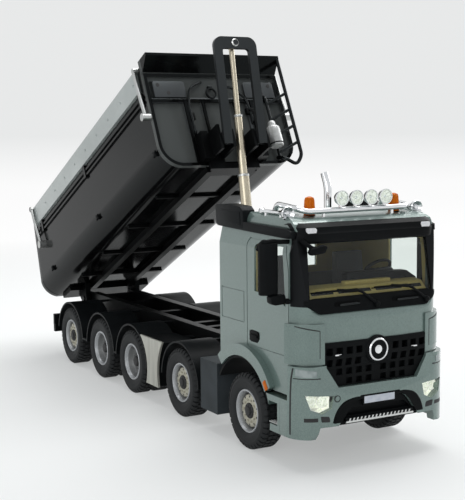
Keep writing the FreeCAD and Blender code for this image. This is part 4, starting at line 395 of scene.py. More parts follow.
class Piece:
    """A mesh in the making. Shapes are added in millimetres, then it is fixed to a body."""

    def __init__(self, frame_of=truck):
        self.frame_of = frame_of
        self.mesh = bmesh.new()

    def take(self, shape, place=Matrix()):
        """Move a small mesh into place and add it to this one."""
        bmesh.ops.recalc_face_normals(shape, faces=shape.faces)
        bmesh.ops.transform(shape, matrix=place, verts=shape.verts)
        part = bpy.data.meshes.new("part")
        shape.to_mesh(part)
        shape.free()
        self.mesh.from_mesh(part)
        bpy.data.meshes.remove(part)
        return self

    def prism(self, axis, loop, low, high, bevel=0.0, steps=2, place=Matrix()):
        """A loop of points padded along an axis. X takes (y, z), Y (x, z) and Z (x, y)."""
        order = {"X": (2, 0, 1), "Y": (0, 2, 1), "Z": (0, 1, 2)}[axis]
        shape = bmesh.new()
        rings = [[shape.verts.new([(a, b, level)[part] for part in order]) for a, b in loop]
                 for level in (low, high)]
        shape.faces.new(rings[0])
        shape.faces.new(rings[1])
        count = len(loop)
        for index in range(count):
            after = (index + 1) % count
            shape.faces.new((rings[0][index], rings[0][after], rings[1][after], rings[1][index]))
        if bevel:
            bmesh.ops.bevel(shape, geom=shape.edges[:], offset=bevel, segments=steps,
                            affect="EDGES", profile=0.6, clamp_overlap=True)
        return self.take(shape, place)

    def box(self, low, high, bevel=0.0, place=Matrix()):
        loop = [(low[0], low[1]), (high[0], low[1]), (high[0], high[1]), (low[0], high[1])]
        return self.prism("Z", loop, low[2], high[2], bevel, place=place)

    def lathe(self, profile, centre, axis="Y", steps=48, closed=False, ribs=0, depth=0.0):
        """Turn (radius, along) points about an axis through a point, with ribs if wanted."""
        shape = bmesh.new()
        rings = []
        turns = [2 * math.pi * step / steps for step in range(steps)]
        for radius, along in profile:
            if radius < 1e-6:
                rings.append([shape.verts.new((0, 0, along))])
                continue
            reach = [radius * (1 + depth * math.cos(ribs * turn)) for turn in turns]
            rings.append([shape.verts.new((size * math.cos(turn), size * math.sin(turn), along))
                          for size, turn in zip(reach, turns)])
        pairs = list(zip(rings, rings[1:]))
        if closed:
            pairs.append((rings[-1], rings[0]))
        for first, second in pairs:
            for step in range(steps):
                after = (step + 1) % steps
                corners = [first[step % len(first)], first[after % len(first)],
                           second[after % len(second)], second[step % len(second)]]
                unique = list(dict.fromkeys(corners))
                if len(unique) > 2:
                    shape.faces.new(unique)
        for ring in (rings[0], rings[-1]):
            if len(ring) > 1 and not closed:
                shape.faces.new(ring)
        return self.take(shape, Matrix.Translation(centre) @ AXES[axis])

    def rod(self, start, end, radius, steps=20, round_end=0.15):
        """A round bar between two points with a small round at its ends."""
        start, end = Vector(start), Vector(end)
        length = (end - start).length
        edge = min(round_end, radius * 0.6, length * 0.3)
        profile = [(0, 0), (radius - edge, 0), (radius, edge),
                   (radius, length - edge), (radius - edge, length), (0, length)]
        turn = (end - start).to_track_quat("Z", "Y").to_matrix().to_4x4()
        shape = Piece()
        shape.lathe(profile, (0, 0, 0), "Z", steps)
        return self.take(shape.mesh, Matrix.Translation(start) @ turn)

    def pipe(self, points, radius, steps=14, bend=1.0):
        """A bent tube through corner points, rounded at each bend."""
        points = [Vector(point) for point in points]
        path = [points[0]]
        for before, corner, after in zip(points, points[1:], points[2:]):
            reach = min(bend, (before - corner).length * 0.45, (after - corner).length * 0.45)
            first = corner + (before - corner).normalized() * reach
            last = corner + (after - corner).normalized() * reach
            for step in range(7):
                part = step / 6
                path.append(first.lerp(corner, part).lerp(corner.lerp(last, part), part))
        path.append(points[-1])
        shape = bmesh.new()
        rings = []
        side = (path[1] - path[0]).orthogonal().normalized()
        for index, point in enumerate(path):
            ahead = path[min(index + 1, len(path) - 1)] - path[max(index - 1, 0)]
            ahead.normalize()
            side = (side - ahead * side.dot(ahead)).normalized()
            other = ahead.cross(side)
            rings.append([
                shape.verts.new(point + (side * math.cos(turn) + other * math.sin(turn)) * radius)
                for turn in (2 * math.pi * step / steps for step in range(steps))
            ])
        for first, second in zip(rings, rings[1:]):
            for step in range(steps):
                after = (step + 1) % steps
                shape.faces.new((first[step], first[after], second[after], second[step]))
        shape.faces.new(rings[0])
        shape.faces.new(rings[-1])
        return self.take(shape)

    def sheet(self, rows, drop):
        """A curved sheet through rows of points, with its back face moved by drop."""
        shape = bmesh.new()
        faces = [[[shape.verts.new(Vector(point) + Vector(shift)) for point in row] for row in rows]
                 for shift in ((0, 0, 0), drop)]
        tall, wide = len(rows), len(rows[0])
        for grid in faces:
            for row in range(tall - 1):
                for spot in range(wide - 1):
                    shape.faces.new((grid[row][spot], grid[row][spot + 1],
                                     grid[row + 1][spot + 1], grid[row + 1][spot]))
        edge = [(0, spot) for spot in range(wide)]
        edge += [(row, wide - 1) for row in range(1, tall)]
        edge += [(tall - 1, spot) for spot in range(wide - 2, -1, -1)]
        edge += [(row, 0) for row in range(tall - 2, 0, -1)]
        for here, there in zip(edge, edge[1:] + edge[:1]):
            shape.faces.new([faces[0][here[0]][here[1]], faces[0][there[0]][there[1]],
                             faces[1][there[0]][there[1]], faces[1][here[0]][here[1]]])
        return self.take(shape)

    def mirrored(self):
        """Add the same shapes on the truck's other side."""
        twin = self.mesh.copy()
        bmesh.ops.scale(twin, vec=(1, -1, 1), verts=twin.verts)
        bmesh.ops.reverse_faces(twin, faces=twin.faces)
        part = bpy.data.meshes.new("part")
        twin.to_mesh(part)
        twin.free()
        self.mesh.from_mesh(part)
        bpy.data.meshes.remove(part)
        return self

    def fix(self, name, body="chassis", slot="black_moulding", material=moulding, replaces=()):
        """Turn the shapes into one object on a body. Edges over SHARP degrees stay sharp."""
        mesh = bpy.data.meshes.new(name)
        bmesh.ops.transform(self.mesh, matrix=self.frame_of, verts=self.mesh.verts)
        self.mesh.to_mesh(mesh)
        self.mesh.free()
        for face in mesh.polygons:
            face.use_smooth = True
        mesh.set_sharp_from_angle(angle=math.radians(SHARP))
        mesh.materials.append(material)
        piece = bpy.data.objects.new(name, mesh)
        bpy.context.collection.objects.link(piece)
        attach(piece, body)
        if replaces:
            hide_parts(*replaces)


def two_tone(name, scale, detail, levels, first, second, glow=0.0, **surface):
    """A material of two colours, clouded into each other by a noise."""
    finish = Finish(name)
    colour = finish.mix(finish.noise(scale, detail).between(*levels), first, second)
    # A glow makes the colour shine as painted light of the part's own.
    if glow:
        surface.update(Emission_Color=colour, Emission_Strength=glow)
    return finish.surface(Base_Color=colour, **surface)


fairings = Piece()
strip = [(-18.3, 60.7), (-4.0, 60.3), (20.2, 59.7), (22.0, 59.9), (21.9, 61.6), (19.6, 62.2),
         (-2.6, 62.6)]
fairings.prism("Y", strip, 21.0, 23.25, 0.15)
fairings.prism("Y", [(-18.35, 66.6), (-18.0, 60.9), (-2.6, 60.5), (-2.3, 62.4), (-2.6, 65.6),
                     (-4.2, 66.7), (-12.0, 67.0)], 21.0, 23.3, 0.35)
fairings.prism("Y", [(-18.35, 66.6), (-18.2, 63.9), (-2.7, 64.2), (-2.8, 65.6), (-4.4, 66.7),
                     (-12.0, 67.0)], 19.3, 22.6, 0.35)
fairings.prism("Y", [(-16.6, 62.6), (-16.4, 61.9), (-4.0, 61.5), (-3.9, 62.2), (-4.3, 65.2),
                     (-15.9, 65.4)], 23.0, 23.45, 0.1)
fairings.mirrored().fix("roof_side_fairings", material=fender_plastic, replaces=("roof_fairings",))
marker_lens = two_tone("marker lens", 1.6, 1.0, (0.3, 0.7), (0.72, 0.73, 0.75), (0.84, 0.84, 0.85),
                       Roughness=0.2, Coat_Weight=0.8)
marks = Piece()
marks.prism("X", [(16.9, 61.1), (19.4, 61.1), (19.8, 61.6), (19.7, 62.5), (17.1, 62.5),
                  (16.7, 62.0)], 23.0, 24.2, 0.2)
marks.mirrored().fix("visor_markers", "chassis", "clear_glass", marker_lens)
# The cab's front corner seen from above: its middle, and the radius of its skin. The visor starts
# to bend back beside it, as far as the corner lies behind the visor's straight part.
corner_x, corner_y, corner_radius = 19.178, 15.942, 7.2
bend_from, visor_straight, bend_share = 17, 25.6, 0.9


def cab_corner(across):
    """How far forward the cab's round corner stands at a place across."""
    return corner_x + math.sqrt(max(corner_radius ** 2 - (abs(across) - corner_y) ** 2, 0))


def visor_bend(across):
    """How far the visor's ends are bent back round the cab's corners."""
    behind = visor_straight - cab_corner(across) if abs(across) > bend_from else 0.0
    return max(0.0, behind) * bend_share


visor_half = [12.0, 17.0, 19.0, 20.0, 20.8, 21.4, 21.9, 22.3]
visor_places = [-across for across in reversed(visor_half)] + [0.0] + visor_half
visor_line = [(20.6, 63.3), (21.8, 63.65), (22.6, 63.3), (23.7, 62.6), (23.95, 61.7), (24.15, 61.2),
              (24.35, 60.95), (24.36, 59.3), (24.1, 58.7), (23.5, 58.5)]
visor = Piece()
visor.sheet([[(ahead - visor_bend(across), across, height) for across in visor_places]
             for ahead, height in visor_line], (-0.9, 0, -0.25))
visor.fix("visor_beam", replaces=("sun_visor",))


# Mirrors: a tall black housing on two arms on the right, with its elbow and a small wide-angle head
# under it, the left one folded back along the door, and a kerb mirror over the windscreen's corner.
heads = Piece()
heads.prism("Z", [(17.4, -25.4), (17.4, -30.4), (18.8, -30.35), (19.7, -29.3), (20.0, -27.6),
                  (19.95, -25.8)], 45.4, 58.8, 0.45, 3)
heads.pipe([(18.8, -27.4, 58.0), (18.8, -26.4, 59.1), (19.4, -22.3, 58.9)], 0.6)
heads.pipe([(18.8, -27.4, 45.9), (19.0, -26.4, 43.9), (20.6, -22.3, 43.6)], 0.75)
heads.pipe([(19.2, -28.6, 59.0), (18.8, -29.3, 59.3), (17.2, -29.7, 58.2), (16.4, -29.7, 57.0)],
           0.62, 14, 1.4)
heads.pipe([(19.0, -24.6, 58.9), (19.2, -27.0, 59.4), (19.2, -28.8, 59.2)], 0.55, 14, 1.0)
heads.prism("X", [(-23.9, 43.1), (-27.2, 42.9), (-28.4, 43.5), (-28.6, 45.3), (-24.2, 45.6)],
            18.4, 21.0, 0.5, 3)
heads.prism("X", [(-25.9, 46.6), (-29.9, 46.6), (-29.9, 49.6), (-25.9, 49.8)], 17.25, 17.6, 0.15)
heads.prism("Z", [(13.6, 23.5), (18.6, 23.5), (18.7, 25.1), (17.2, 25.6), (15.0, 25.6),
                  (13.6, 25.3)], 44.6, 57.6, 0.45, 3)
heads.pipe([(17.8, 24.4, 57.0), (18.6, 24.0, 58.3), (19.6, 22.2, 58.5)], 0.6)
heads.pipe([(17.8, 24.4, 45.2), (18.6, 23.9, 43.9), (19.8, 22.2, 43.6)], 0.7)
heads.fix("mirror_heads", replaces=("mirrors",))
kerb = Piece()
kerb.pipe([(23.6, -21.0, 59.4), (24.6, -19.8, 58.2), (25.1, -18.2, 57.2), (25.4, -15.8, 57.0)],
          0.55, 14, 1.2)
kerb.prism("X", [(-19.4, 55.6), (-15.2, 56.1), (-14.4, 57.6), (-15.4, 58.3), (-19.6, 57.5),
                 (-20.2, 56.4)], 24.5, 25.9, 0.5, 3)
kerb.fix("kerb_mirror")


# Door handles: a black cup pressed into each door with a flat grip bar across it, both moulded in
# one in black plastic.
cups = Piece()
cups.prism("Y", [(0.3, 30.6), (1.2, 30.2), (4.4, 30.2), (5.2, 30.8), (5.2, 32.6), (4.4, 33.4),
                 (1.4, 33.5), (0.3, 32.8)], 22.8, 23.12, 0.1)
cups.prism("Y", [(0.9, 31.6), (4.7, 31.5), (4.7, 32.2), (0.9, 32.4)], 23.0, 23.5, 0.15)
cups.mirrored().fix("door_handles")


# Glazing and cab lining: clear styrene panes pushed in from inside, and one tan tub with the seats,
# dash and steering wheel, of which the seats, binnacle and wheel are brushed dark.
def clear_pane():
    finish = Finish("clear pane")
    smudge = finish.noise(0.08, 2.0).between(0.45, 0.8)
    through = finish.add("ShaderNodeBsdfTransparent", None, {"Color": (0.93, 0.95, 0.94)})
    gloss = finish.add("ShaderNodeBsdfPrincipled", None, {
        "Base Color": (0.95, 0.96, 0.96), "Metallic": 1.0, "Roughness": 0.02 + smudge * 0.05})
    facing = finish.add("ShaderNodeLayerWeight", None, {"Blend": 0.5}, output="Facing")
    share = facing.sum("POWER", 5.0) * 0.5 + 0.014
    return finish.close(finish.add("ShaderNodeMixShader", None, {0: share, 1: through, 2: gloss}))


def lining():
    finish = Finish("tan lining")
    along, across, up = finish.axes()
    weave = finish.noise(2.2, 2.0)
    tan = finish.mix(weave.between(0.3, 0.7), (0.42, 0.32, 0.085), (0.52, 0.41, 0.13))
    reach = across.sum("ABSOLUTE")
    seat = along.under(front_axle_x + 10.2) * up.over(27.4) * reach.over(6.4) * reach.under(15.6)
    seat = seat * along.over(front_axle_x - 4.2)
    wheel = along.over(front_axle_x + 9.9) * along.under(front_axle_x + 18.0) * up.over(42.1)
    back = along.under(front_axle_x - 14.0) * up.over(36.0)
    dark = (seat + wheel + back).sum("MINIMUM", 1.0)
    colour = finish.mix(dark, tan, (0.020, 0.021, 0.024))
    return finish.surface(Base_Color=colour, Roughness=0.6, Normal=finish.bump(weave, 0.2, 0.03))


clear_glass = clear_pane()
tan_lining = lining()
coat_nodes(clear_glass, "cab_windows", "head_lamps")
coat_nodes(tan_lining, "cab_interior")
binnacle = Piece()
binnacle.prism("X", [(-3.6, 43.0), (-3.4, 49.2), (-2.6, 49.7), (16.4, 48.9), (19.6, 46.9),
                     (19.8, 43.0)], 15.6, 18.6, 0.4)
binnacle.fix("dash_binnacle")
ledge = Piece()
ledge.prism("Y", [(18.0, 42.6), (23.9, 42.6), (23.7, 44.5), (21.6, 46.4), (18.0, 46.9)],
            -18.9, 18.9, 0.2)
ledge.box((18.6, -5.5, 46.4), (20.2, 9.5, 47.5), 0.2)
ledge.fix("dash_ledge", "chassis", "tan_trim", tan_lining)
vents = Piece()
for near, far in ((-17.8, -11.0), (-9.4, 1.0), (2.6, 11.0), (12.4, 17.8)):
    vents.prism("Y", [(22.2, 45.6), (22.5, 45.75), (23.3, 45.0), (23.1, 44.8)], near, far, 0.05)
vents.fix("dash_vents")
steering = Piece()
hoop = Piece()
hoop_radius, hoop_thick = 3.9, 0.42
column_y, hoop_middle = 12.2, (10.6, 12.2, 48.8)
hoop_turns = [2 * math.pi * step / 12 for step in range(12)]
hoop.lathe([(hoop_radius + hoop_thick * math.cos(turn), hoop_thick * math.sin(turn))
            for turn in hoop_turns], (0, 0, 0), "Z", 48, closed=True)
steering.take(hoop.mesh, Matrix.Translation(hoop_middle)
              @ Matrix.Rotation(math.radians(-42), 4, "Y"))
for tip in (8.6, 15.8):
    steering.rod((10.6, column_y, 48.5), (10.6, tip, 48.8), 0.35, 10)
steering.rod((12.6, column_y, 45.6), (10.5, column_y, 48.8), 0.7, 16)
steering.fix("steering_wheel")


# Nose: a plain ring badge on a round black boss, two wiper arms, two hand grips let into the cowl
# and the bright dashes of the grille bars.
def chrome_plate(name, shade, roughness):
    finish = Finish(name)
    wave = finish.noise(0.5, 2.0)
    colour = finish.mix(wave.between(0.3, 0.7), shade, tuple(part * 0.9 for part in shade))
    return finish.surface(Base_Color=colour, Metallic=1.0, Roughness=roughness + wave * 0.05,
                          Normal=finish.bump(wave, 0.05, 0.02))


chrome = chrome_plate("vacuum chrome", (0.80, 0.81, 0.82), 0.05)
satin_silver = chrome_plate("satin silver", (0.62, 0.63, 0.62), 0.28)
nose_face = 27.0
badge_height = 30.1
boss = Piece()
boss.lathe([(3.75, 26.2), (3.75, 27.5), (3.55, 27.75), (3.1, 27.75), (2.7, 27.45), (0, 27.6)],
           (0, 0, badge_height), "X", 56)
boss.fix("badge_boss")
badge = Piece()
badge.lathe([(3.05, 27.5), (3.05, 28.0), (2.9, 28.15), (2.6, 28.1), (2.5, 27.9), (2.5, 27.4)],
            (0, 0, badge_height), "X", 56, closed=True)
badge.lathe([(0, 27.55), (1.5, 27.55), (1.3, 27.85), (0.7, 28.0), (0, 28.02)],
            (0, 0, badge_height), "X", 40)
badge.fix("plain_ring_badge", "chassis", "bright_chrome", chrome)
dashes = Piece()
dashes.box((nose_face, 11.3, 29.5), (nose_face + 0.25, 13.2, 29.85), 0.05)
dashes.mirrored().fix("grille_dashes", "chassis", "bright_chrome", chrome)
# The windscreen leans back above its sill, and the nose leans forward below it.
sill_x, sill_height, screen_lean = 25.5, 41.2, 0.1414
nose_lean, nose_straight = 0.577, 26.4


def screen_at(height):
    """How far forward the windscreen stands at a height."""
    return sill_x - screen_lean * (height - sill_height)


def cab_front(across, height):
    """How far forward the cab's skin stands at a place across and a height."""
    nose = sill_x + nose_lean * (sill_height - height)
    slope = screen_at(height) if height > sill_height else nose
    return min(slope, nose_straight if abs(across) < corner_y + 1 else cab_corner(across))


cowl = Piece()
cowl_rows = []
for level in range(9):
    share = level / 8
    row = []
    for spot in range(-42, 43):
        across = spot * 0.5
        side = abs(across)
        low = 40.5 + max(0.0, side - 17.2) * 0.62
        top = 44.5 - max(0.0, side - 18.6) * 0.25
        height = low + (top - low) * share
        row.append((cab_front(across, height) + 0.37, across, height))
    cowl_rows.append(row)
cowl.sheet(cowl_rows, (-0.6, 0, 0))
cowl.fix("cowl_panel", replaces=("wiper_panel",))
wipers = Piece()
for pivot, elbow, tip in ((0.8, -4.1, -18.7), (17.2, 12.2, -0.3)):
    foot = (screen_at(41.9) + 0.8, pivot, 41.9)
    knee = (screen_at(45.6) + 0.75, elbow, 45.6)
    wipers.pipe([foot, knee, (screen_at(46.3) + 0.7, (elbow + tip) / 2, 46.3)], 0.36, 10, 1.2)
    wipers.lathe([(0, -0.5), (0.75, -0.5), (0.75, 0.3), (0.5, 0.5), (0, 0.5)], foot, "X", 20)
    blade, spine = screen_at(46.0), screen_at(46.1)
    wipers.box((blade + 0.1, tip, 45.75), (blade + 0.45, elbow - 0.6, 46.05), 0.08)
    wipers.box((spine + 0.4, tip + 0.6, 45.8), (spine + 0.85, elbow - 1.0, 46.35), 0.15)
wipers.fix("wipers")
grips = Piece()
# Painted shade: the cups are dark sheets laid on the cowl where the recesses round the grips lie in
# shade.
cups = Piece()
for near, far in ((-12.4, -4.5), (6.0, 14.6)):
    front = screen_at(42.6) + 0.4
    cups.prism("X", [(near, 42.1), (near + 0.4, 41.9), (far - 0.3, 41.9), (far, 42.3), (far, 43.2),
                     (near + 0.5, 43.2), (near, 42.8)], front - 0.1, front + 0.06, 0.04)
    grips.rod((front + 0.35, near + 1.4, 42.4), (front + 0.25, far - 0.2, 42.5), 0.34, 14)
    for end in (near + 1.6, far - 0.4):
        grips.rod((front - 0.2, end, 42.45), (front + 0.35, end, 42.45), 0.24, 12)
grips.fix("cowl_grips", "chassis", "black_gloss", gloss_enamel)
cups.fix("cowl_cups", "chassis", "black_moulding", black_plastic("cowl recess", 0.0012, 0.6, 5.0))


# Lamps in the bumper: chromed bowls with a painted glow behind a clear lens, a fog-lamp recess
# painted dark as shade and a small strip lamp below, and the guard with its ribbed skid bar and
# bare plate.
def reflector_with_painted_glow():
    finish = Finish("lamp reflector")
    facet = finish.noise(1.6, 1.0).between(0.35, 0.65)
    colour = finish.mix(facet, (0.96, 0.96, 0.90), (0.66, 0.67, 0.60))
    # Painted glow: the reflector gives off its own colour as light, though the lamps are unlit.
    return finish.surface(Base_Color=colour, Metallic=0.2, Roughness=0.28,
                          Normal=finish.bump(facet, 0.4, 0.05), Emission_Color=colour,
                          Emission_Strength=0.4)


reflector = reflector_with_painted_glow()
bowls = Piece()
bowl = [(0, -1.5), (0.8, -1.4), (1.35, -0.8), (1.6, 0.1), (1.72, 0.15), (1.72, -0.1), (1.5, -1.1),
        (0.9, -1.75), (0, -1.8)]
bulb = [(0, -1.5), (0.35, -1.3), (0.35, -0.7), (0.2, -0.45), (0, -0.4)]
for middle, front in ((16.6, 26.2), (19.8, 25.0)):
    for line, steps in ((bowl, 32), (bulb, 16)):
        bowls.lathe([(radius, front + along) for radius, along in line],
                    (0, middle, 17.9), "X", steps)
bowls.mirrored().fix("lamp_bowls", "chassis", "bright_chrome", reflector)
lamp_back = Piece()
lamp_back.prism("Z", [(24.6, 14.9), (24.2, 18.4), (22.8, 21.6), (22.3, 21.4), (23.6, 18.2),
                      (24.0, 14.9)], 15.8, 19.6, 0.1)
lamp_tray = [(14.9, 19.2), (15.05, 16.2), (17.6, 15.05), (20.6, 16.45), (21.6, 19.4)]
tray_back = [(22.4, across, height) for across, height in lamp_tray]
tray_front = [(26.9 - max(0.0, across - 16.0) * 0.45, across, height)
              for across, height in lamp_tray]
lamp_back.sheet([tray_back, tray_front], (0, -0.05, -0.12))
lamp_back.mirrored().fix("lamp_back", "chassis", "bright_chrome", reflector)
# Black for hubs, gaskets and seams; the same dark also stands in as painted shade in recesses,
# under hoods and in holes.
black_and_recess_shade = two_tone("dark recess", 1.5, 1.0, (0.2, 0.8), (0.003, 0.003, 0.003),
                        (0.008, 0.008, 0.009), Roughness=0.55)
# The bumper's round corner seen from above: its middle, and the radius of its face.
bumper_x, bumper_y, bumper_radius = 20.9, 17.4, 7.0


def bumper_skin(across):
    """How far forward the bumper stands at a distance from the middle."""
    if across < bumper_y:
        return 28.9 - across * across / 350
    return bumper_x + math.sqrt(max(bumper_radius ** 2 - (across - bumper_y) ** 2, 0))


def on_corner(middle, radius, turn, height):
    """A point on a round corner on the left, a turn in degrees from straight ahead."""
    turn = math.radians(turn)
    return (middle[0] + radius * math.cos(turn), middle[1] + radius * math.sin(turn), height)


def bumper_corner(turn, height, out):
    return on_corner((bumper_x, bumper_y), bumper_radius + out, turn, height)


seams = Piece()
seam_line = ((77, 9.4), (77, 14.0), (76, 20.0), (74, 24.0), (69, 26.9))
seams.sheet([[bumper_corner(turn - wide, height, 0.03) for wide in (0.0, 2.0, 4.0)]
             for turn, height in seam_line], (-0.3, -0.1, 0))
seams.sheet([[bumper_corner(turn, height, 0.03) for turn in (66, 56, 46, 36, 26, 16, 6)]
             for height in (24.15, 24.4)], (-0.2, 0, 0))
seams.mirrored().fix("bumper_seams", "chassis", "black_moulding", black_and_recess_shade)
# Smoked clear plastic over a silver backing.
corner_lens = two_tone("corner lamp lens", 0.45, 1.0, (0.35, 0.65), (0.19, 0.235, 0.23),
                       (0.29, 0.34, 0.335), Metallic=0.3, Roughness=0.12, Coat_Weight=1.0,
                       Coat_Roughness=0.03)
corner_lamps = Piece()
corner_lamps.sheet([
    [bumper_corner(turn, height - (66 - turn) * slope, 0.06) for turn in range(60, 14, -5)]
    for height, slope in ((24.7, 0.0), (25.4, 0.003), (26.2, 0.006), (26.9, 0.012))
], (-0.3, 0, 0))
corner_lamps.mirrored().fix("corner_lamps", "chassis", "clear_glass", corner_lens)
# Painted shade: the fog-lamp recess is a dark block and a dark strip on the bumper where its shade
# falls. The wall beside each headlamp is a black gasket and the ring on the tow cap a dark joint.
fog = Piece()
fog_in, fog_out = 14.9, 17.8
fog.prism("X", [(fog_in, 12.6), (fog_in + 0.8, 14.2), (fog_out + 0.3, 14.4), (fog_out, 12.9)],
          bumper_skin(16.4) - 1.2, bumper_skin(16.4) - 0.02, 0.12)
fog.sheet([[bumper_corner(turn, height, 0.05) for turn in (12, 20, 28, 36, 42)]
           for height in (13.1, 13.6, 14.1)], (-0.4, -0.1, 0))
fog.prism("Y", [(22.0, 15.6), (27.6, 16.2), (27.4, 19.4), (22.0, 19.7)], 14.3, 14.6)
fog.mirrored()
fog.lathe([(0.72, 28.2), (0.9, 28.2), (0.9, 28.45), (0.72, 28.45)], (0, -13.3, 18.6), "X", 28,
          closed=True)
fog.fix("fog_recesses", "chassis", "black_moulding", black_and_recess_shade)
ribbed_bar = Piece()
ribbed_bar.box((27.75, -10.9, 11.9), (28.88, 10.9, 12.45), 0.18)
for number in range(17):
    middle = -9.6 + number * 1.2
    tooth = [(middle - 0.45, 12.4), (middle - 0.15, 13.1), (middle + 0.3, 13.1), (middle, 12.4)]
    ribbed_bar.prism("X", tooth, 28.5, 28.86, 0.06)
ribbed_bar.fix("skid_bar_teeth", "chassis", "bare_steel", satin_silver, replaces=("skid_bar",))
skid_back = Piece()
skid_back.box((27.75, -10.9, 12.3), (28.6, 10.9, 13.3), 0.15)
skid_back.fix("skid_bar_back")
border = Piece()
border_half = [(28.25, 8.0, 18.2), (28.1, 11.4, 17.2), (27.95, 13.3, 15.0), (27.7, 14.3, 12.3)]
border_other = [(ahead, -across, height) for ahead, across, height in reversed(border_half)]
border.pipe(border_other + border_half, 0.6, 16, 1.8)
rim_line = [(14.3, 12.2), (13.3, 15.0), (12.4, 16.2), (11.3, 17.2), (9.6, 17.9), (8.0, 18.2)]
pocket_line = [(12.2, 12.2), (11.2, 13.6), (10.2, 15.0), (9.3, 16.2), (8.3, 17.1), (6.6, 18.1)]
for side in (-1, 1):
    border.sheet([[(bumper_skin(across) + 0.1, side * across, height) for across, height in line]
                  for line in (rim_line, pocket_line)], (-2.4, 0, 0))
border.fix("guard_border")
plate = Piece()
plate.box((28.3, -5.2, 16.45), (28.88, 4.6, 18.35), 0.12)
plate_face = two_tone("bare number plate", 0.6, 2.0, (0.3, 0.7), (0.46, 0.50, 0.58),
                      (0.58, 0.61, 0.66), Roughness=0.35, Coat_Weight=0.4)
plate.fix("number_plate", "chassis", "bare_steel", plate_face)
surround = Piece()
surround.box((28.2, -5.6, 16.1), (28.8, 5.0, 18.7), 0.15)
surround.fix("plate_surround")


# Corner deflectors: each has a raised inner panel with a hooded top, cast in one with it and
# sprayed the cab's colour. It is laid over the deflector's round face, with dark strips of painted
# shade under its hood and along its edge.
deflector_x, deflector_y, deflector_radius = 18.304, 15.911, 8.6
inset_foot, inset_turn, inset_sweep = 29.2, 12, 44


def deflector_at(turn, height, out):
    return on_corner((deflector_x, deflector_y), deflector_radius + out, turn, height)


def inset_top(turn):
    return 36.2 + (turn - inset_turn) * 0.028


def inset_point(turn, share):
    """A point on the raised panel, a share of the way up it. It bulges most in its middle."""
    bulge = 0.05 + 0.16 * math.sin(math.pi * (turn - inset_turn) / inset_sweep)
    return deflector_at(turn, inset_foot + (inset_top(turn) - inset_foot) * share, bulge)


turns = range(inset_turn, inset_turn + inset_sweep + 1, 4)
inset_shares = (0.0, 0.03, 0.35, 0.7, 0.97, 1.0)
insets = Piece()
insets.sheet([[inset_point(turn, share) for turn in turns] for share in inset_shares],
             (-0.3, -0.2, 0))
insets.mirrored().fix("deflector_panels", "chassis", "grey_paint", grey_paint)
# Painted shade: a dark strip under the panel's hood and another along its edge.
hoods = Piece()
hoods.sheet([[deflector_at(turn, inset_top(turn) + rise, 0.03) for turn in turns]
             for rise in (0.02, 0.3)], (-0.2, -0.1, 0))
hoods.sheet([[deflector_at(turn, height, 0.03) for turn in (10.6, 11.4, 12.0)]
             for height in (inset_foot, 33.0, 36.4)], (-0.2, -0.1, 0))
hoods.mirrored().fix("deflector_shade_lines", "chassis", "black_moulding", black_and_recess_shade)


# Steps and flares: two bright ribbed treads in each step box, and the amber side marker at the
# front end of each wheel flare.
treads = Piece()
for height in (16.75, 10.5):
    treads.box((12.2, 20.6, height), (16.9, 24.1, height + 0.28), 0.1)
    for number in range(4):
        near = 21.0 + number * 0.75
        treads.box((12.4, near, height + 0.2), (16.7, near + 0.35, height + 0.42), 0.06)
treads.mirrored().fix("step_treads", "chassis", "bare_steel", satin_silver)
# Painted glow: the amber lenses give off a little light of their own, though no lamp is in them.
amber = two_tone("amber lens", 0.9, 2.0, (0.3, 0.7), (0.50, 0.095, 0.001), (0.64, 0.16, 0.004),
                 glow=0.06, Roughness=0.3, Coat_Weight=0.05, Coat_Roughness=0.05,
                 Specular_IOR_Level=0.08)
flare_middle = Vector((-2.2, 24.75, 10.6))
marker_radius, marker_turn = 16.6, math.radians(35)
marker_place = (
    flare_middle + Vector((math.cos(marker_turn), 0, math.sin(marker_turn))) * marker_radius)
markers = Piece()
markers.box((-1.3, -0.5, -0.75), (1.3, 0.25, 0.75), 0.2, place=Matrix.Translation(marker_place)
            @ Matrix.Rotation(math.pi / 2 - marker_turn, 4, "Y"))
markers.mirrored().fix("side_markers", "chassis", "amber_lens", amber)


# Roof gear: a chrome tube bent back at its ends, four round lamps on it, a horn on each side of the
# roof, and a ribbed amber beacon on a black base behind each end of the tube.
bar = Piece()
bar_front, spot_height = 17.9, 69.4
horn_half, horn_height = 20.9, 65.9
bar.pipe([(4.2, -17.2, 65.2), (5.6, -17.2, 67.6), (16.4, -17.2, 66.8), (bar_front, -15.6, 66.2),
          (bar_front, 15.8, 66.4), (16.4, 17.4, 66.8), (5.6, 17.4, 67.6), (4.2, 17.4, 65.2)],
         0.8, 18, 2.0)
for across in (-10.6, 11.6):
    bar.rod((bar_front, across, 64.4), (bar_front, across, 66.5), 0.42)
spots = [-5.3 + number * 4.75 for number in range(4)]
for across in spots:
    bar.rod((bar_front, across, 66.4), (bar_front, across, 67.6), 0.45)
    bar.lathe([(0, 16.5), (1.0, 16.6), (1.65, 17.3), (2.0, 18.4), (2.05, 18.7), (2.05, 18.95),
               (1.86, 19.0), (1.8, 18.75), (1.35, 18.0), (0.6, 17.4), (0, 17.3)],
               (0, across, spot_height), "X", 40)
    bar.lathe([(0, 17.3), (0.5, 17.5), (0.5, 18.3), (0.3, 18.5), (0, 18.52)],
              (0, across, spot_height), "X", 18)
horn = [(0, 3.1), (0.75, 3.2), (0.95, 3.9), (0.7, 4.5), (0.5, 5.1), (0.5, 12.2), (0.75, 13.6),
        (1.25, 15.1), (1.8, 16.2), (1.95, 16.9), (1.75, 17.2), (1.3, 16.7), (0.6, 15.6), (0, 15.3)]
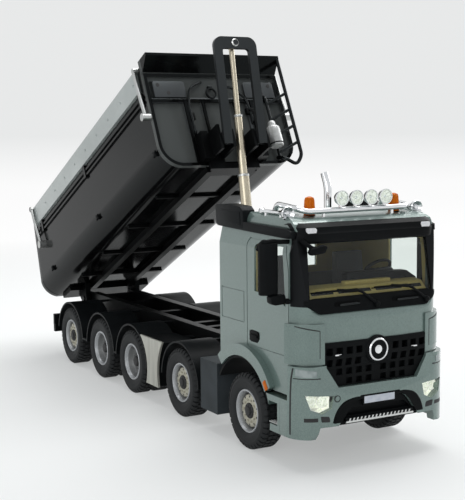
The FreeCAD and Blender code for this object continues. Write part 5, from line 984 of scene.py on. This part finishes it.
for across in (-horn_half, horn_half):
    bar.lathe(horn, (0, across, horn_height), "X", 36)
    bar.lathe([(0, 15.6), (0.55, 15.7), (0.5, 16.6), (0, 16.8)], (0, across, horn_height), "X", 18)
    for along, foot in ((5.8, 62.4), (13.4, 62.2)):
        bar.rod((along, across, foot), (along, across, horn_height), 0.42)
bar.fix("roof_lamp_bar", "chassis", "bright_chrome", chrome, replaces=("light_bar",))
lenses, cells = Piece(), Piece()
lens_line = [(0, 18.98), (1.0, 18.95), (1.82, 18.8), (1.82, 18.66), (0, 18.7)]
cell_line = [(0, 18.35), (0.9, 18.5), (1.78, 18.62), (1.78, 18.5), (0, 18.1)]
for across in spots:
    lenses.lathe(lens_line, (0, across, spot_height), "X", 36)
    cells.lathe(cell_line, (0, across, spot_height), "X", 36)
lenses.fix("spot_lenses", "chassis", "clear_glass", clear_glass)
# Painted glow: the spot lamps' reflectors use the headlamps' glowing finish, though the lamps are
# unlit.
cells.fix("spot_reflectors", "chassis", "bright_chrome", reflector)
domes, bases = Piece(), Piece()
for foot in ((15.9, -13.7, 64.5), (15.9, 13.7, 64.5)):
    domes.lathe([(1.46, 0.7), (1.5, 1.0), (1.42, 2.4), (1.3, 4.5), (1.1, 5.2), (0.4, 5.5),
                 (0, 5.55)], foot, "Z", 72, ribs=18, depth=0.035)
    bases.lathe([(1.62, -0.2), (1.62, 0.6), (1.45, 0.75), (0, 0.75)], foot, "Z", 40)
domes.fix("beacon_domes", "chassis", "amber_lens", amber, replaces=("beacons",))
bases.fix("beacon_bases")


# Exhaust: a chromed stack behind the cab on the left, bent back at the top and cut on the slant,
# with a thicker sleeve round its lower half and a bracket under it.
stack = Piece()
stack.pipe([(-19.5, 16.0, 22.4), (-19.5, 16.0, 70.2), (-21.4, 16.0, 74.2)], 1.2, 28, 2.4)
top_face = max(stack.mesh.faces, key=lambda face: face.calc_center_median().z)
bmesh.ops.inset_region(stack.mesh, faces=[top_face], thickness=0.16)
bmesh.ops.translate(stack.mesh, verts=top_face.verts[:], vec=(0.9, 0, -1.9))
stack.rod((-19.5, 16.0, 24.0), (-19.5, 16.0, 40.0), 1.55, 32, 0.6)
stack.box((-20.6, 9.3, 22.3), (-18.4, 17.0, 23.5), 0.15)
stack.fix("exhaust_pipe", "chassis", "bright_chrome", chrome, replaces=("exhaust_stack",))


# Tyres: soft black rubber rings pressed over the rims, with blocks moulded round the tread in four
# rows, the inner rows half a step behind the outer ones. Axles 3 and 4 carry twins on one shaft.
class Pattern(Nodes):
    """A Geometry Nodes tree with named sizes that sets out copies of a small mesh."""

    def __init__(self, name, sizes):
        super().__init__(bpy.data.node_groups.new(name, "GeometryNodeTree"))
        face = self.tree.interface
        face.new_socket("Geometry", in_out="INPUT", socket_type="NodeSocketGeometry")
        self.keys = {}
        for size, kind in sizes.items():
            socket = face.new_socket(size, in_out="INPUT", socket_type="NodeSocket" + kind)
            self.keys[size] = socket.identifier
        face.new_socket("Geometry", in_out="OUTPUT", socket_type="NodeSocketGeometry")
        self.given = self.tree.nodes.new("NodeGroupInput").outputs

    def close(self, copies):
        """Make the copies real, give them their material and end the tree."""
        real = self.add("GeometryNodeRealizeInstances", None, {"Geometry": copies})
        coated = self.add("GeometryNodeSetMaterial", None, {
            "Geometry": real, "Material": self.given["Material"]})
        self.add("NodeGroupOutput", None, {0: coated})
        return self

    def copies(self, shape, **sizes):
        """Run the tree on a small mesh and give back the result as a plain mesh in the making."""
        mesh = bpy.data.meshes.new("one of many")
        shape.mesh.to_mesh(mesh)
        shape.mesh.free()
        carrier = bpy.data.objects.new("one of many", mesh)
        bpy.context.collection.objects.link(carrier)
        modifier = carrier.modifiers.new("copies", "NODES")
        modifier.node_group = self.tree
        for size, given in sizes.items():
            modifier[self.keys[size]] = given
        ready = carrier.evaluated_get(bpy.context.evaluated_depsgraph_get())
        plain = bpy.data.meshes.new_from_object(ready)
        carrier.modifiers.clear()
        bpy.data.objects.remove(carrier)
        result = bmesh.new()
        result.from_mesh(plain)
        bpy.data.meshes.remove(plain)
        return result


def round_pattern():
    pattern = Pattern("copies round a wheel", {"Count": "Int", "Radius": "Float", "Start": "Float",
                                               "Material": "Material"})
    given = pattern.given
    circle = pattern.add("GeometryNodeMeshCircle", None, {
        "Vertices": given["Count"], "Radius": given["Radius"]})
    angle = pattern.add("GeometryNodeInputIndex") / given["Count"] * (2 * math.pi)
    turn = pattern.add("ShaderNodeCombineXYZ", None, {"Z": angle})
    copies = pattern.add("GeometryNodeInstanceOnPoints", None, {
        "Points": circle, "Instance": given["Geometry"], "Rotation": turn})
    start = pattern.add("ShaderNodeCombineXYZ", None, {"Z": given["Start"]})
    turned = pattern.add("GeometryNodeRotateInstances", None, {
        "Instances": copies, "Rotation": start, "Local Space": False})
    return pattern.close(turned)


def rubber():
    finish = Finish("tyre rubber")
    dust = finish.noise(0.5, 3.0).between(0.4, 0.75)
    colour = finish.mix(dust, (0.009, 0.010, 0.011), (0.017, 0.019, 0.020))
    grain = finish.bump(finish.noise(6.0, 2.0), 0.3, 0.03)
    return finish.surface(Base_Color=colour, Roughness=0.62 + dust * 0.12, Normal=grain,
                          Specular_IOR_Level=0.28)


around = round_pattern()
tyre_rubber = rubber()
tyre_radius = 10.6
tread_floor = 10.2
blocks = 38
wheel_face = 24.4
single_width = 6.6
twin_width = 5.4
twin_gap = 1.0


def wheel_place(axle, middle, side):
    """From a wheel's own frame, with its axis along z and its outer face up, to the truck's."""
    return (Matrix.Translation((axle, side * middle, tyre_radius))
            @ Matrix.Rotation(0 if side > 0 else math.pi, 4, "Z") @ AXES["Y"])


def tyre_shape(width):
    """One tyre about the z axis: the carcass with its rim ridge, then the four rows of blocks."""
    half = width / 2
    wall = [(6.1, half * 0.80), (6.5, half * 0.90), (7.2, half * 0.965), (8.0, half * 0.985),
            (8.55, half * 0.985), (8.7, half), (8.85, half * 0.985), (9.3, half - 0.12),
            (9.8, half - 0.42), (tread_floor, half - 0.95)]
    loop = [(radius, -along) for radius, along in wall] + wall[::-1]
    tyre = Piece()
    tyre.lathe(loop, (0, 0, 0), "Z", 96, closed=True)
    top = tyre_radius - 0.03
    inner_edge = half * 0.5
    long_half = math.pi * top / blocks * 0.66
    outer = Piece()
    middle = Piece()
    for side in (-1, 1):
        outer.prism("Y", [(-0.6, side * inner_edge), (0, side * inner_edge),
                          (0, side * (half - 0.85)), (-0.3, side * (half - 0.42)),
                          (-1.05, side * (half - 0.04)), (-1.25, side * (half - 0.3))],
                    -long_half, long_half)
        middle.prism("Y", [(-0.6, side * 0.12), (0, side * 0.12), (0, side * (inner_edge - 0.25)),
                           (-0.6, side * (inner_edge - 0.25))], -long_half, long_half)
    tyre.take(around.copies(outer, Count=blocks, Radius=top, Start=0.0, Material=tyre_rubber))
    tyre.take(around.copies(middle, Count=blocks, Radius=top, Start=math.pi / blocks,
                            Material=tyre_rubber))
    return tyre


axle_places = {1: 0.0, 2: -40.7, 3: -77.2, 4: -104.2, 5: -133.4}
single_middle = wheel_face - single_width / 2
twin_middles = (wheel_face - twin_width / 2, wheel_face - twin_width * 1.5 - twin_gap)
single_tyre = tyre_shape(single_width)
twin_tyre = tyre_shape(twin_width)
for axle in (1, 2):
    for hand, side in (("l", 1), ("r", -1)):
        tyre = Piece()
        tyre.take(single_tyre.mesh.copy(), wheel_place(axle_places[axle], single_middle, side))
        tyre.fix(f"tyre_{axle}{hand}_rubber", f"wheel_{axle}{hand}", "tyre_rubber", tyre_rubber,
                 replaces=(f"tyre_{axle}{hand}",))
for axle in (3, 4, 5):
    tyre = Piece()
    for side in (1, -1):
        middles = (single_middle,) if axle == 5 else twin_middles
        for middle in middles:
            shape = single_tyre if axle == 5 else twin_tyre
            tyre.take(shape.mesh.copy(), wheel_place(axle_places[axle], middle, side))
    tyre.fix(f"tyres_{axle}_rubber", f"wheelset_{axle}", "tyre_rubber", tyre_rubber,
             replaces=(f"tyres_{axle}",))


# Rims: one moulding each, sprayed silver on the outer ring and a creamier silver on the disc, with
# ten nuts, ten hand holes painted dark as shade and a black hub. Axles 3 and 4 have discs set back,
# painted darker as shade.
def rim_finish(name, shade, roughness):
    finish = Finish(name)
    speck = finish.noise(3.0, 2.0).between(0.35, 0.7)
    colour = finish.mix(speck, shade, tuple(part * 0.8 for part in shade))
    return finish.surface(Base_Color=colour, Metallic=0.45, Roughness=roughness + speck * 0.08,
                          Normal=finish.bump(speck, 0.15, 0.02))


ring_silver = rim_finish("rim ring silver", (0.44, 0.455, 0.47), 0.32)
disc_silver = rim_finish("rim disc silver", (0.50, 0.48, 0.39), 0.38)
# Painted shade: the set-back discs and their wall are darkened for the shade inside the twin tyres.
deep_silver_painted_shade = rim_finish("deep disc silver", (0.17, 0.175, 0.175), 0.4)
nuts = 10


def rim_shapes(deep):
    """The outer ring, the disc with its nuts, and the hub with the hand holes, about the z axis."""
    if deep:
        ring = [(6.1, 0.0), (5.95, 0.15), (5.6, 0.15), (5.35, -0.3), (5.15, -0.8), (5.4, -1.0),
                (5.55, -11.0), (6.1, -11.0)]
        disc = [(5.2, -0.75), (4.9, -1.3), (4.65, -2.0), (4.3, -2.45), (3.9, -2.62), (2.0, -2.62),
                (1.9, -3.6), (5.3, -3.6)]
        hub = [(0, -3.6), (2.05, -3.6), (2.05, -2.3), (1.75, -2.1), (1.7, -1.3), (1.4, -1.0),
               (0.9, -0.9), (0, -0.9)]
        face, bolt_face, bolt_radius = -2.62, -1.15, 1.1
    else:
        ring = [(6.1, 2.55), (5.98, 2.82), (5.6, 2.85), (5.4, 2.5), (5.2, 1.9), (5.05, 0.7),
                (5.3, -0.2), (5.5, -2.6), (6.1, -2.6)]
        disc = [(4.62, 0.5), (4.6, 1.5), (4.35, 1.85), (3.95, 1.95), (2.2, 1.95), (2.1, 1.2),
                (2.1, 0.5)]
        hub = [(0, 0.3), (5.2, 0.3), (5.2, 0.6), (2.15, 0.6), (2.15, 2.15), (1.95, 2.35),
               (1.35, 2.4), (1.25, 2.7), (0.9, 2.82), (0, 2.84)]
        face, bolt_face, bolt_radius = 1.95, 2.35, 1.62
    outer, middle, dark = Piece(), Piece(), Piece()
    outer.lathe(ring, (0, 0, 0), "Z", 72, closed=True)
    middle.lathe(disc, (0, 0, 0), "Z", 72, closed=True)
    nut = Piece()
    nut.lathe([(0, -0.1), (0.33, -0.1), (0.33, 0.22), (0.2, 0.3), (0.2, 0.42), (0, 0.45)],
              (0, 0, face), "Z", 6)
    middle.take(around.copies(nut, Count=nuts, Radius=3.05, Start=0.0, Material=disc_silver))
    dark.lathe(hub, (0, 0, 0), "Z", 40)
    # Painted shade: each hand hole is a dark plug on the disc's face, standing in for the shade
    # inside it.
    hole = Piece()
    hole.lathe([(0, -0.2), (0.3, -0.2), (0.3, 0.012), (0, 0.012)], (0, 0, face), "Z", 14)
    dark.take(around.copies(hole, Count=nuts, Radius=3.95, Start=math.pi / nuts,
                            Material=black_and_recess_shade))
    bolt = Piece()
    bolt.lathe([(0, -0.1), (0.22, -0.1), (0.22, 0.1), (0, 0.12)], (0, 0, bolt_face), "Z", 8)
    dark.take(around.copies(bolt, Count=8, Radius=bolt_radius, Start=0.0, Material=black_and_recess_shade))
    return outer, middle, dark


single_rim = rim_shapes(deep=False)
deep_rim = rim_shapes(deep=True)
deep_rim_inset, shaft_half = 0.5, 17.0
wheel_bodies = [(f"wheel_{axle}{hand}", axle, (side,), f"rim_{axle}{hand}")
                for axle in (1, 2) for hand, side in (("l", 1), ("r", -1))]
wheel_bodies += [(f"wheelset_{axle}", axle, (1, -1), f"wheels_{axle}") for axle in (3, 4, 5)]
for body, axle, sides, stands_for in wheel_bodies:
    deep = axle in (3, 4)
    shapes = deep_rim if deep else single_rim
    middle = wheel_face - deep_rim_inset if deep else single_middle
    outer, disc, hub = Piece(), Piece(), Piece()
    for side in sides:
        spot = wheel_place(axle_places[axle], middle, side)
        for piece, shape in zip((outer, disc, hub), shapes):
            piece.take(shape.mesh.copy(), spot)
    if len(sides) == 2:
        along = axle_places[axle]
        hub.rod((along, -shaft_half, tyre_radius), (along, shaft_half, tyre_radius), 1.0)
    outer.fix(f"{body}_ring", body, "rim_silver", ring_silver, replaces=(stands_for,))
    disc.fix(f"{body}_disc", body, "rim_silver", deep_silver_painted_shade if deep else disc_silver)
    hub.fix(f"{body}_hub", body, "black_moulding", black_and_recess_shade)


# Side panels: brushed aluminium sheets between axles 2 and 3, brushed upright, folded over at the
# top and clipped to the tank bracket behind them.
def brushed_sheet():
    finish = Finish("brushed aluminium")
    lines = finish.noise(4.0, 3.0, 0.6, (1.0, 1.0, 0.02)).between(0.3, 0.7)
    wide = finish.noise(0.8, 2.0, 0.5, (1.0, 1.0, 0.05)).between(0.3, 0.7)
    tone = finish.mix(lines, (0.40, 0.40, 0.355), (0.60, 0.60, 0.54))
    colour = finish.mix(wide * 0.5, tone, (0.33, 0.33, 0.29))
    return finish.surface(Base_Color=colour, Metallic=0.55, Roughness=0.36 + lines * 0.1,
                          Normal=finish.bump(lines, 0.25, 0.03))


coat_nodes(brushed_sheet(), "side_panels")


# Load bed fittings: silver cover strips along the top edges, the bright tarp levers that work them,
# black four-armed knobs on the flanks, and the plates and hoses on the front wall; the plates are
# painted grey as a painted reflection and their holes dark as painted shade.
def cover_finish():
    finish = Finish("cover strip silver")
    cloud = finish.noise(0.06, 3.0).between(0.35, 0.7)
    colour = finish.mix(cloud, (0.36, 0.40, 0.39), (0.44, 0.48, 0.47))
    peel = finish.bump(finish.noise(0.8, 2.0), 0.15, 0.02)
    return finish.surface(Base_Color=colour, Metallic=0.4, Roughness=0.32, Coat_Weight=0.4,
                          Normal=peel)


cover_silver = cover_finish()
lever_silver = chrome_plate("lever silver", (0.50, 0.51, 0.50), 0.3)
coat_nodes(cover_silver, "bed_covers")
coat_nodes(lever_silver, "tarp_levers")
# The truck's frame again, as it lies in the lowered bed, and the same with x = 0 at its front wall.
load_bed = (
    Matrix.Translation(hinge_place)
    @ Matrix.Rotation(-bed_tilt, 4, "Y")
    @ Matrix.Scale(MM, 4)
    @ Matrix.Translation(-hinge_in_truck)
)
wall_frame = load_bed @ Matrix.Translation((front_face, 0, 0))
flank = 24.4
knobs = Piece(load_bed)
for along, height in ((-38.9, 31.9), (-92.0, 32.6), (-144.3, 32.6)):
    for turn in range(4):
        angle = math.pi / 4 + turn * math.pi / 2
        tip = (along + 1.25 * math.cos(angle), flank + 0.45, height + 1.25 * math.sin(angle))
        knobs.rod((along, flank + 0.35, height), tip, 0.36, 12)
    knobs.lathe([(0, -0.3), (0.75, -0.3), (0.75, 0.6), (0.5, 0.85), (0, 0.88)],
                (along, flank, height), "Y", 24)
knobs.mirrored().fix("flank_knobs", "bed", "black_moulding", moulding)
# Painted reflection: the black plates are painted dark grey where they mirror the lamps.
plate_painted_reflection = black_enamel("front plate enamel", 0.044, 0.3, 0.34)
plates = Piece(wall_frame)
plates.prism("X", [(10.8, 50.1), (22.0, 50.1), (22.0, 55.2), (21.4, 55.8), (11.4, 55.8),
                   (10.8, 55.2)], -0.1, 0.9, 0.12)
plates.box((0, 9.6, 48.2), (0.9, 23.6, 49.6), 0.25)
plates.box((0, 10.2, 37.6), (0.5, 12.6, 49.0), 0.2)
plates.mirrored()
plates.box((0, -9.8, 48.6), (0.8, 9.8, 50.0), 0.25)
plates.fix("front_wall_plates", "bed", "black_gloss", plate_painted_reflection)
# Painted shade: the plates' holes are dark plugs standing in for the shade inside them.
holes = Piece(wall_frame)
for across, height in ((20.3, 54.4), (17.0, 51.6)):
    holes.lathe([(0, 0.0), (0.62, 0.0), (0.62, 0.96), (0, 0.96)], (0, across, height), "X", 24)
holes.mirrored().fix("front_wall_holes", "bed", "black_moulding", black_and_recess_shade)
hoses = Piece(wall_frame)
hoses.pipe([(0.2, -4.4, 55.8), (1.3, -5.2, 55.4), (1.4, -9.6, 53.2), (1.3, -11.2, 47.0),
            (1.3, -10.8, 38.0), (0.2, -10.4, 36.6)], 0.42, 12, 2.4)
hoses.pipe([(0.2, 4.6, 54.2), (1.3, 5.6, 53.6), (1.3, 10.4, 49.6), (1.3, 11.2, 42.0),
            (0.2, 11.0, 40.6)], 0.38, 12, 2.2)
hoses.lathe([(1.5, -0.32), (1.9, -0.32), (1.98, 0.0), (1.9, 0.32), (1.5, 0.32), (1.42, 0.0)],
            (0.75, -1.7, 51.6), "X", 32, closed=True)
hoses.box((0, -2.5, 53.2), (1.0, -0.9, 54.3), 0.2)
hoses.fix("front_wall_hoses", "bed", "black_gloss", gloss_enamel)
valve = Piece(wall_frame)
valve.box((0, 9.6, 44.0), (1.4, 12.4, 46.2), 0.25)
valve.rod((1.0, 11.0, 45.2), (1.9, 11.0, 45.2), 0.6)
valve.box((0, -12.0, 42.0), (1.2, -9.6, 44.6), 0.25)
valve.fix("front_wall_valves", "bed", "black_moulding", moulding)


def row_pattern():
    pattern = Pattern("copies in a row", {"Count": "Int", "Step": "Vector", "Material": "Material"})
    given = pattern.given
    line = pattern.add("GeometryNodeMeshLine", {"mode": "OFFSET"}, {
        "Count": given["Count"], "Offset": given["Step"]})
    copies = pattern.add("GeometryNodeInstanceOnPoints", None, {
        "Points": line, "Instance": given["Geometry"]})
    return pattern.close(copies)


in_a_row = row_pattern()
rivets = Piece(load_bed)
rivet = Piece()
rivet.lathe([(0, -0.1), (0.42, -0.1), (0.42, 0.1), (0.25, 0.24), (0, 0.27)],
            (-42.5, flank + 0.9, 57.6), "Y", 12)
rivets.take(in_a_row.copies(rivet, Count=10, Step=(-11.9, 0.0, 0.0), Material=cover_silver))
rivets.mirrored().fix("cover_rivets", "bed", "bed_silver", cover_silver)


# Ladder: one length of black bar bent down from the canopy's corner and back under the bed, with
# slanting rungs welded between it and the bed's front wall.
ladder = Piece(load_bed)
ladder.pipe([(-31.9, 24.1, 62.6), (-32.0, 24.2, 27.4), (-33.2, 22.2, 24.6), (-33.6, 18.6, 27.3),
             (-36.3, 17.6, 28.6)], 0.6, 16, 1.6)
ladder.pipe([(-36.3, 17.6, 51.0), (-34.8, 17.6, 49.8), (-34.8, 17.6, 28.4)], 0.5, 14, 1.2)
for number in range(4):
    height = 50.0 - number * 5.9
    ladder.rod((-32.0, 24.2, height), (-34.9, 17.7, height - 2.6), 0.5, 14)
ladder.fix("front_ladder", "bed", "black_gloss", gloss_enamel, replaces=("bed_ladder",))


# Bottle: a small turned silver-grey bottle with a wide neck, a black band at its foot and a black
# cap, hung on its bracket on the bed's front wall.
bottle_grey = two_tone("bottle enamel", 0.7, 2.0, (0.3, 0.7), (0.42, 0.43, 0.42),
                       (0.55, 0.56, 0.55), Roughness=0.3, Metallic=0.25, Coat_Weight=0.5)
bottle_middle = (-31.8, 15.5, 30.6)
bottle = Piece(load_bed)
bottle.lathe([(0, 0.0), (2.1, 0.0), (2.3, 0.15), (2.35, 0.4), (2.35, 5.9), (2.2, 6.5), (1.7, 7.0),
              (1.35, 7.2), (1.25, 8.4), (1.0, 8.8), (0, 8.8)], bottle_middle, "Z", 40)
bottle.fix("bottle_body", "bed", "bright_chrome", bottle_grey, replaces=("bottle",))
strap = Piece(load_bed)
strap.lathe([(2.3, 0.5), (2.4, 0.5), (2.4, 0.9), (2.3, 0.9)], bottle_middle, "Z", 40, closed=True)
strap.lathe([(0, 8.5), (0.75, 8.5), (0.75, 9.0), (0.45, 9.2), (0.45, 9.3), (0, 9.3)],
            bottle_middle, "Z", 20)
strap.box((-35.6, 13.9, 32.3), (-33.2, 16.5, 36.9), 0.25)
strap.fix("bottle_strap", "bed", "black_moulding", moulding)


# Lifting cylinder: four drawn tubes in a champagne-toned steel finish that slide out of each other,
# with a turned collar at the mouth of each, and the yoke's silver screw above the rod's eye.
def ram_steel():
    finish = Finish("champagne steel")
    drawn = finish.noise(2.5, 3.0, 0.6, (1.0, 1.0, 0.12)).between(0.3, 0.7)
    colour = finish.mix(drawn, (0.46, 0.41, 0.31), (0.56, 0.51, 0.40))
    return finish.surface(Base_Color=colour, Metallic=0.9, Roughness=0.24 + drawn * 0.1,
                          Normal=finish.bump(drawn, 0.1, 0.02))


champagne = ram_steel()
coat_nodes(champagne, "cylinder_barrel", "cylinder_stage_1", "cylinder_stage_2", "cylinder_rod")
ram_lean = math.radians(10.19)
ram_place = truck.inverted() @ Vector(joints["ram_swing"]["pos_m"])
ram_frame = truck @ Matrix.Translation(ram_place) @ Matrix.Rotation(-ram_lean, 4, "Y")
stage_out = 17.72
for body, radius, mouth, stages in (
        ("barrel", 2.1, 40.0, 0), ("stage_one", 1.7, 41.0, 1), ("stage_two", 1.3, 42.0, 2)):
    collar = Piece(ram_frame)
    top = mouth + stage_out * stages
    inner, skin, lip = radius - 0.3, radius - 0.02, radius + 0.14
    collar.lathe([(inner, top), (skin, top), (lip, top - 0.14), (lip, top - 0.74),
                  (skin, top - 0.84), (inner, top - 0.84)], (0, 0, 0), "Z", 48, closed=True)
    collar.fix(f"{body}_collar", body, "bare_steel", lever_silver)
yoke_lean = math.radians(12.28)
yoke_place = truck.inverted() @ Vector(joints["yoke_swing"]["pos_m"])
yoke_frame = truck @ Matrix.Translation(yoke_place) @ Matrix.Rotation(-yoke_lean, 4, "Y")
yoke_face, yoke_length = 2.75, 30.37
screw = Piece(yoke_frame)
screw_line = [(0, -0.2), (1.25, -0.2), (1.25, 0.12), (1.0, 0.4), (0.35, 0.49), (0.3, 0.2), (0, 0.2)]
screw.lathe(screw_line, (yoke_face, 0, yoke_length), "X", 32)
screw.fix("yoke_screw", "lifting_yoke", "bare_steel", satin_silver)


# Tail: a red lens with rounded edges at each end of the plain lamp board. The tail can't be seen
# from the front, so these are the plainest lamps of their kind.
red_lens = two_tone("red lens", 1.0, 2.0, (0.3, 0.7), (0.35, 0.004, 0.004), (0.50, 0.010, 0.008),
                    Roughness=0.15, Coat_Weight=1.0)
lamp_board = -151.9
tail = Piece()
tail.box((lamp_board, 19.6, 12.9), (lamp_board + 0.6, 24.0, 15.9), 0.25)
tail.mirrored().fix("tail_lamps", "chassis", "amber_lens", red_lens)
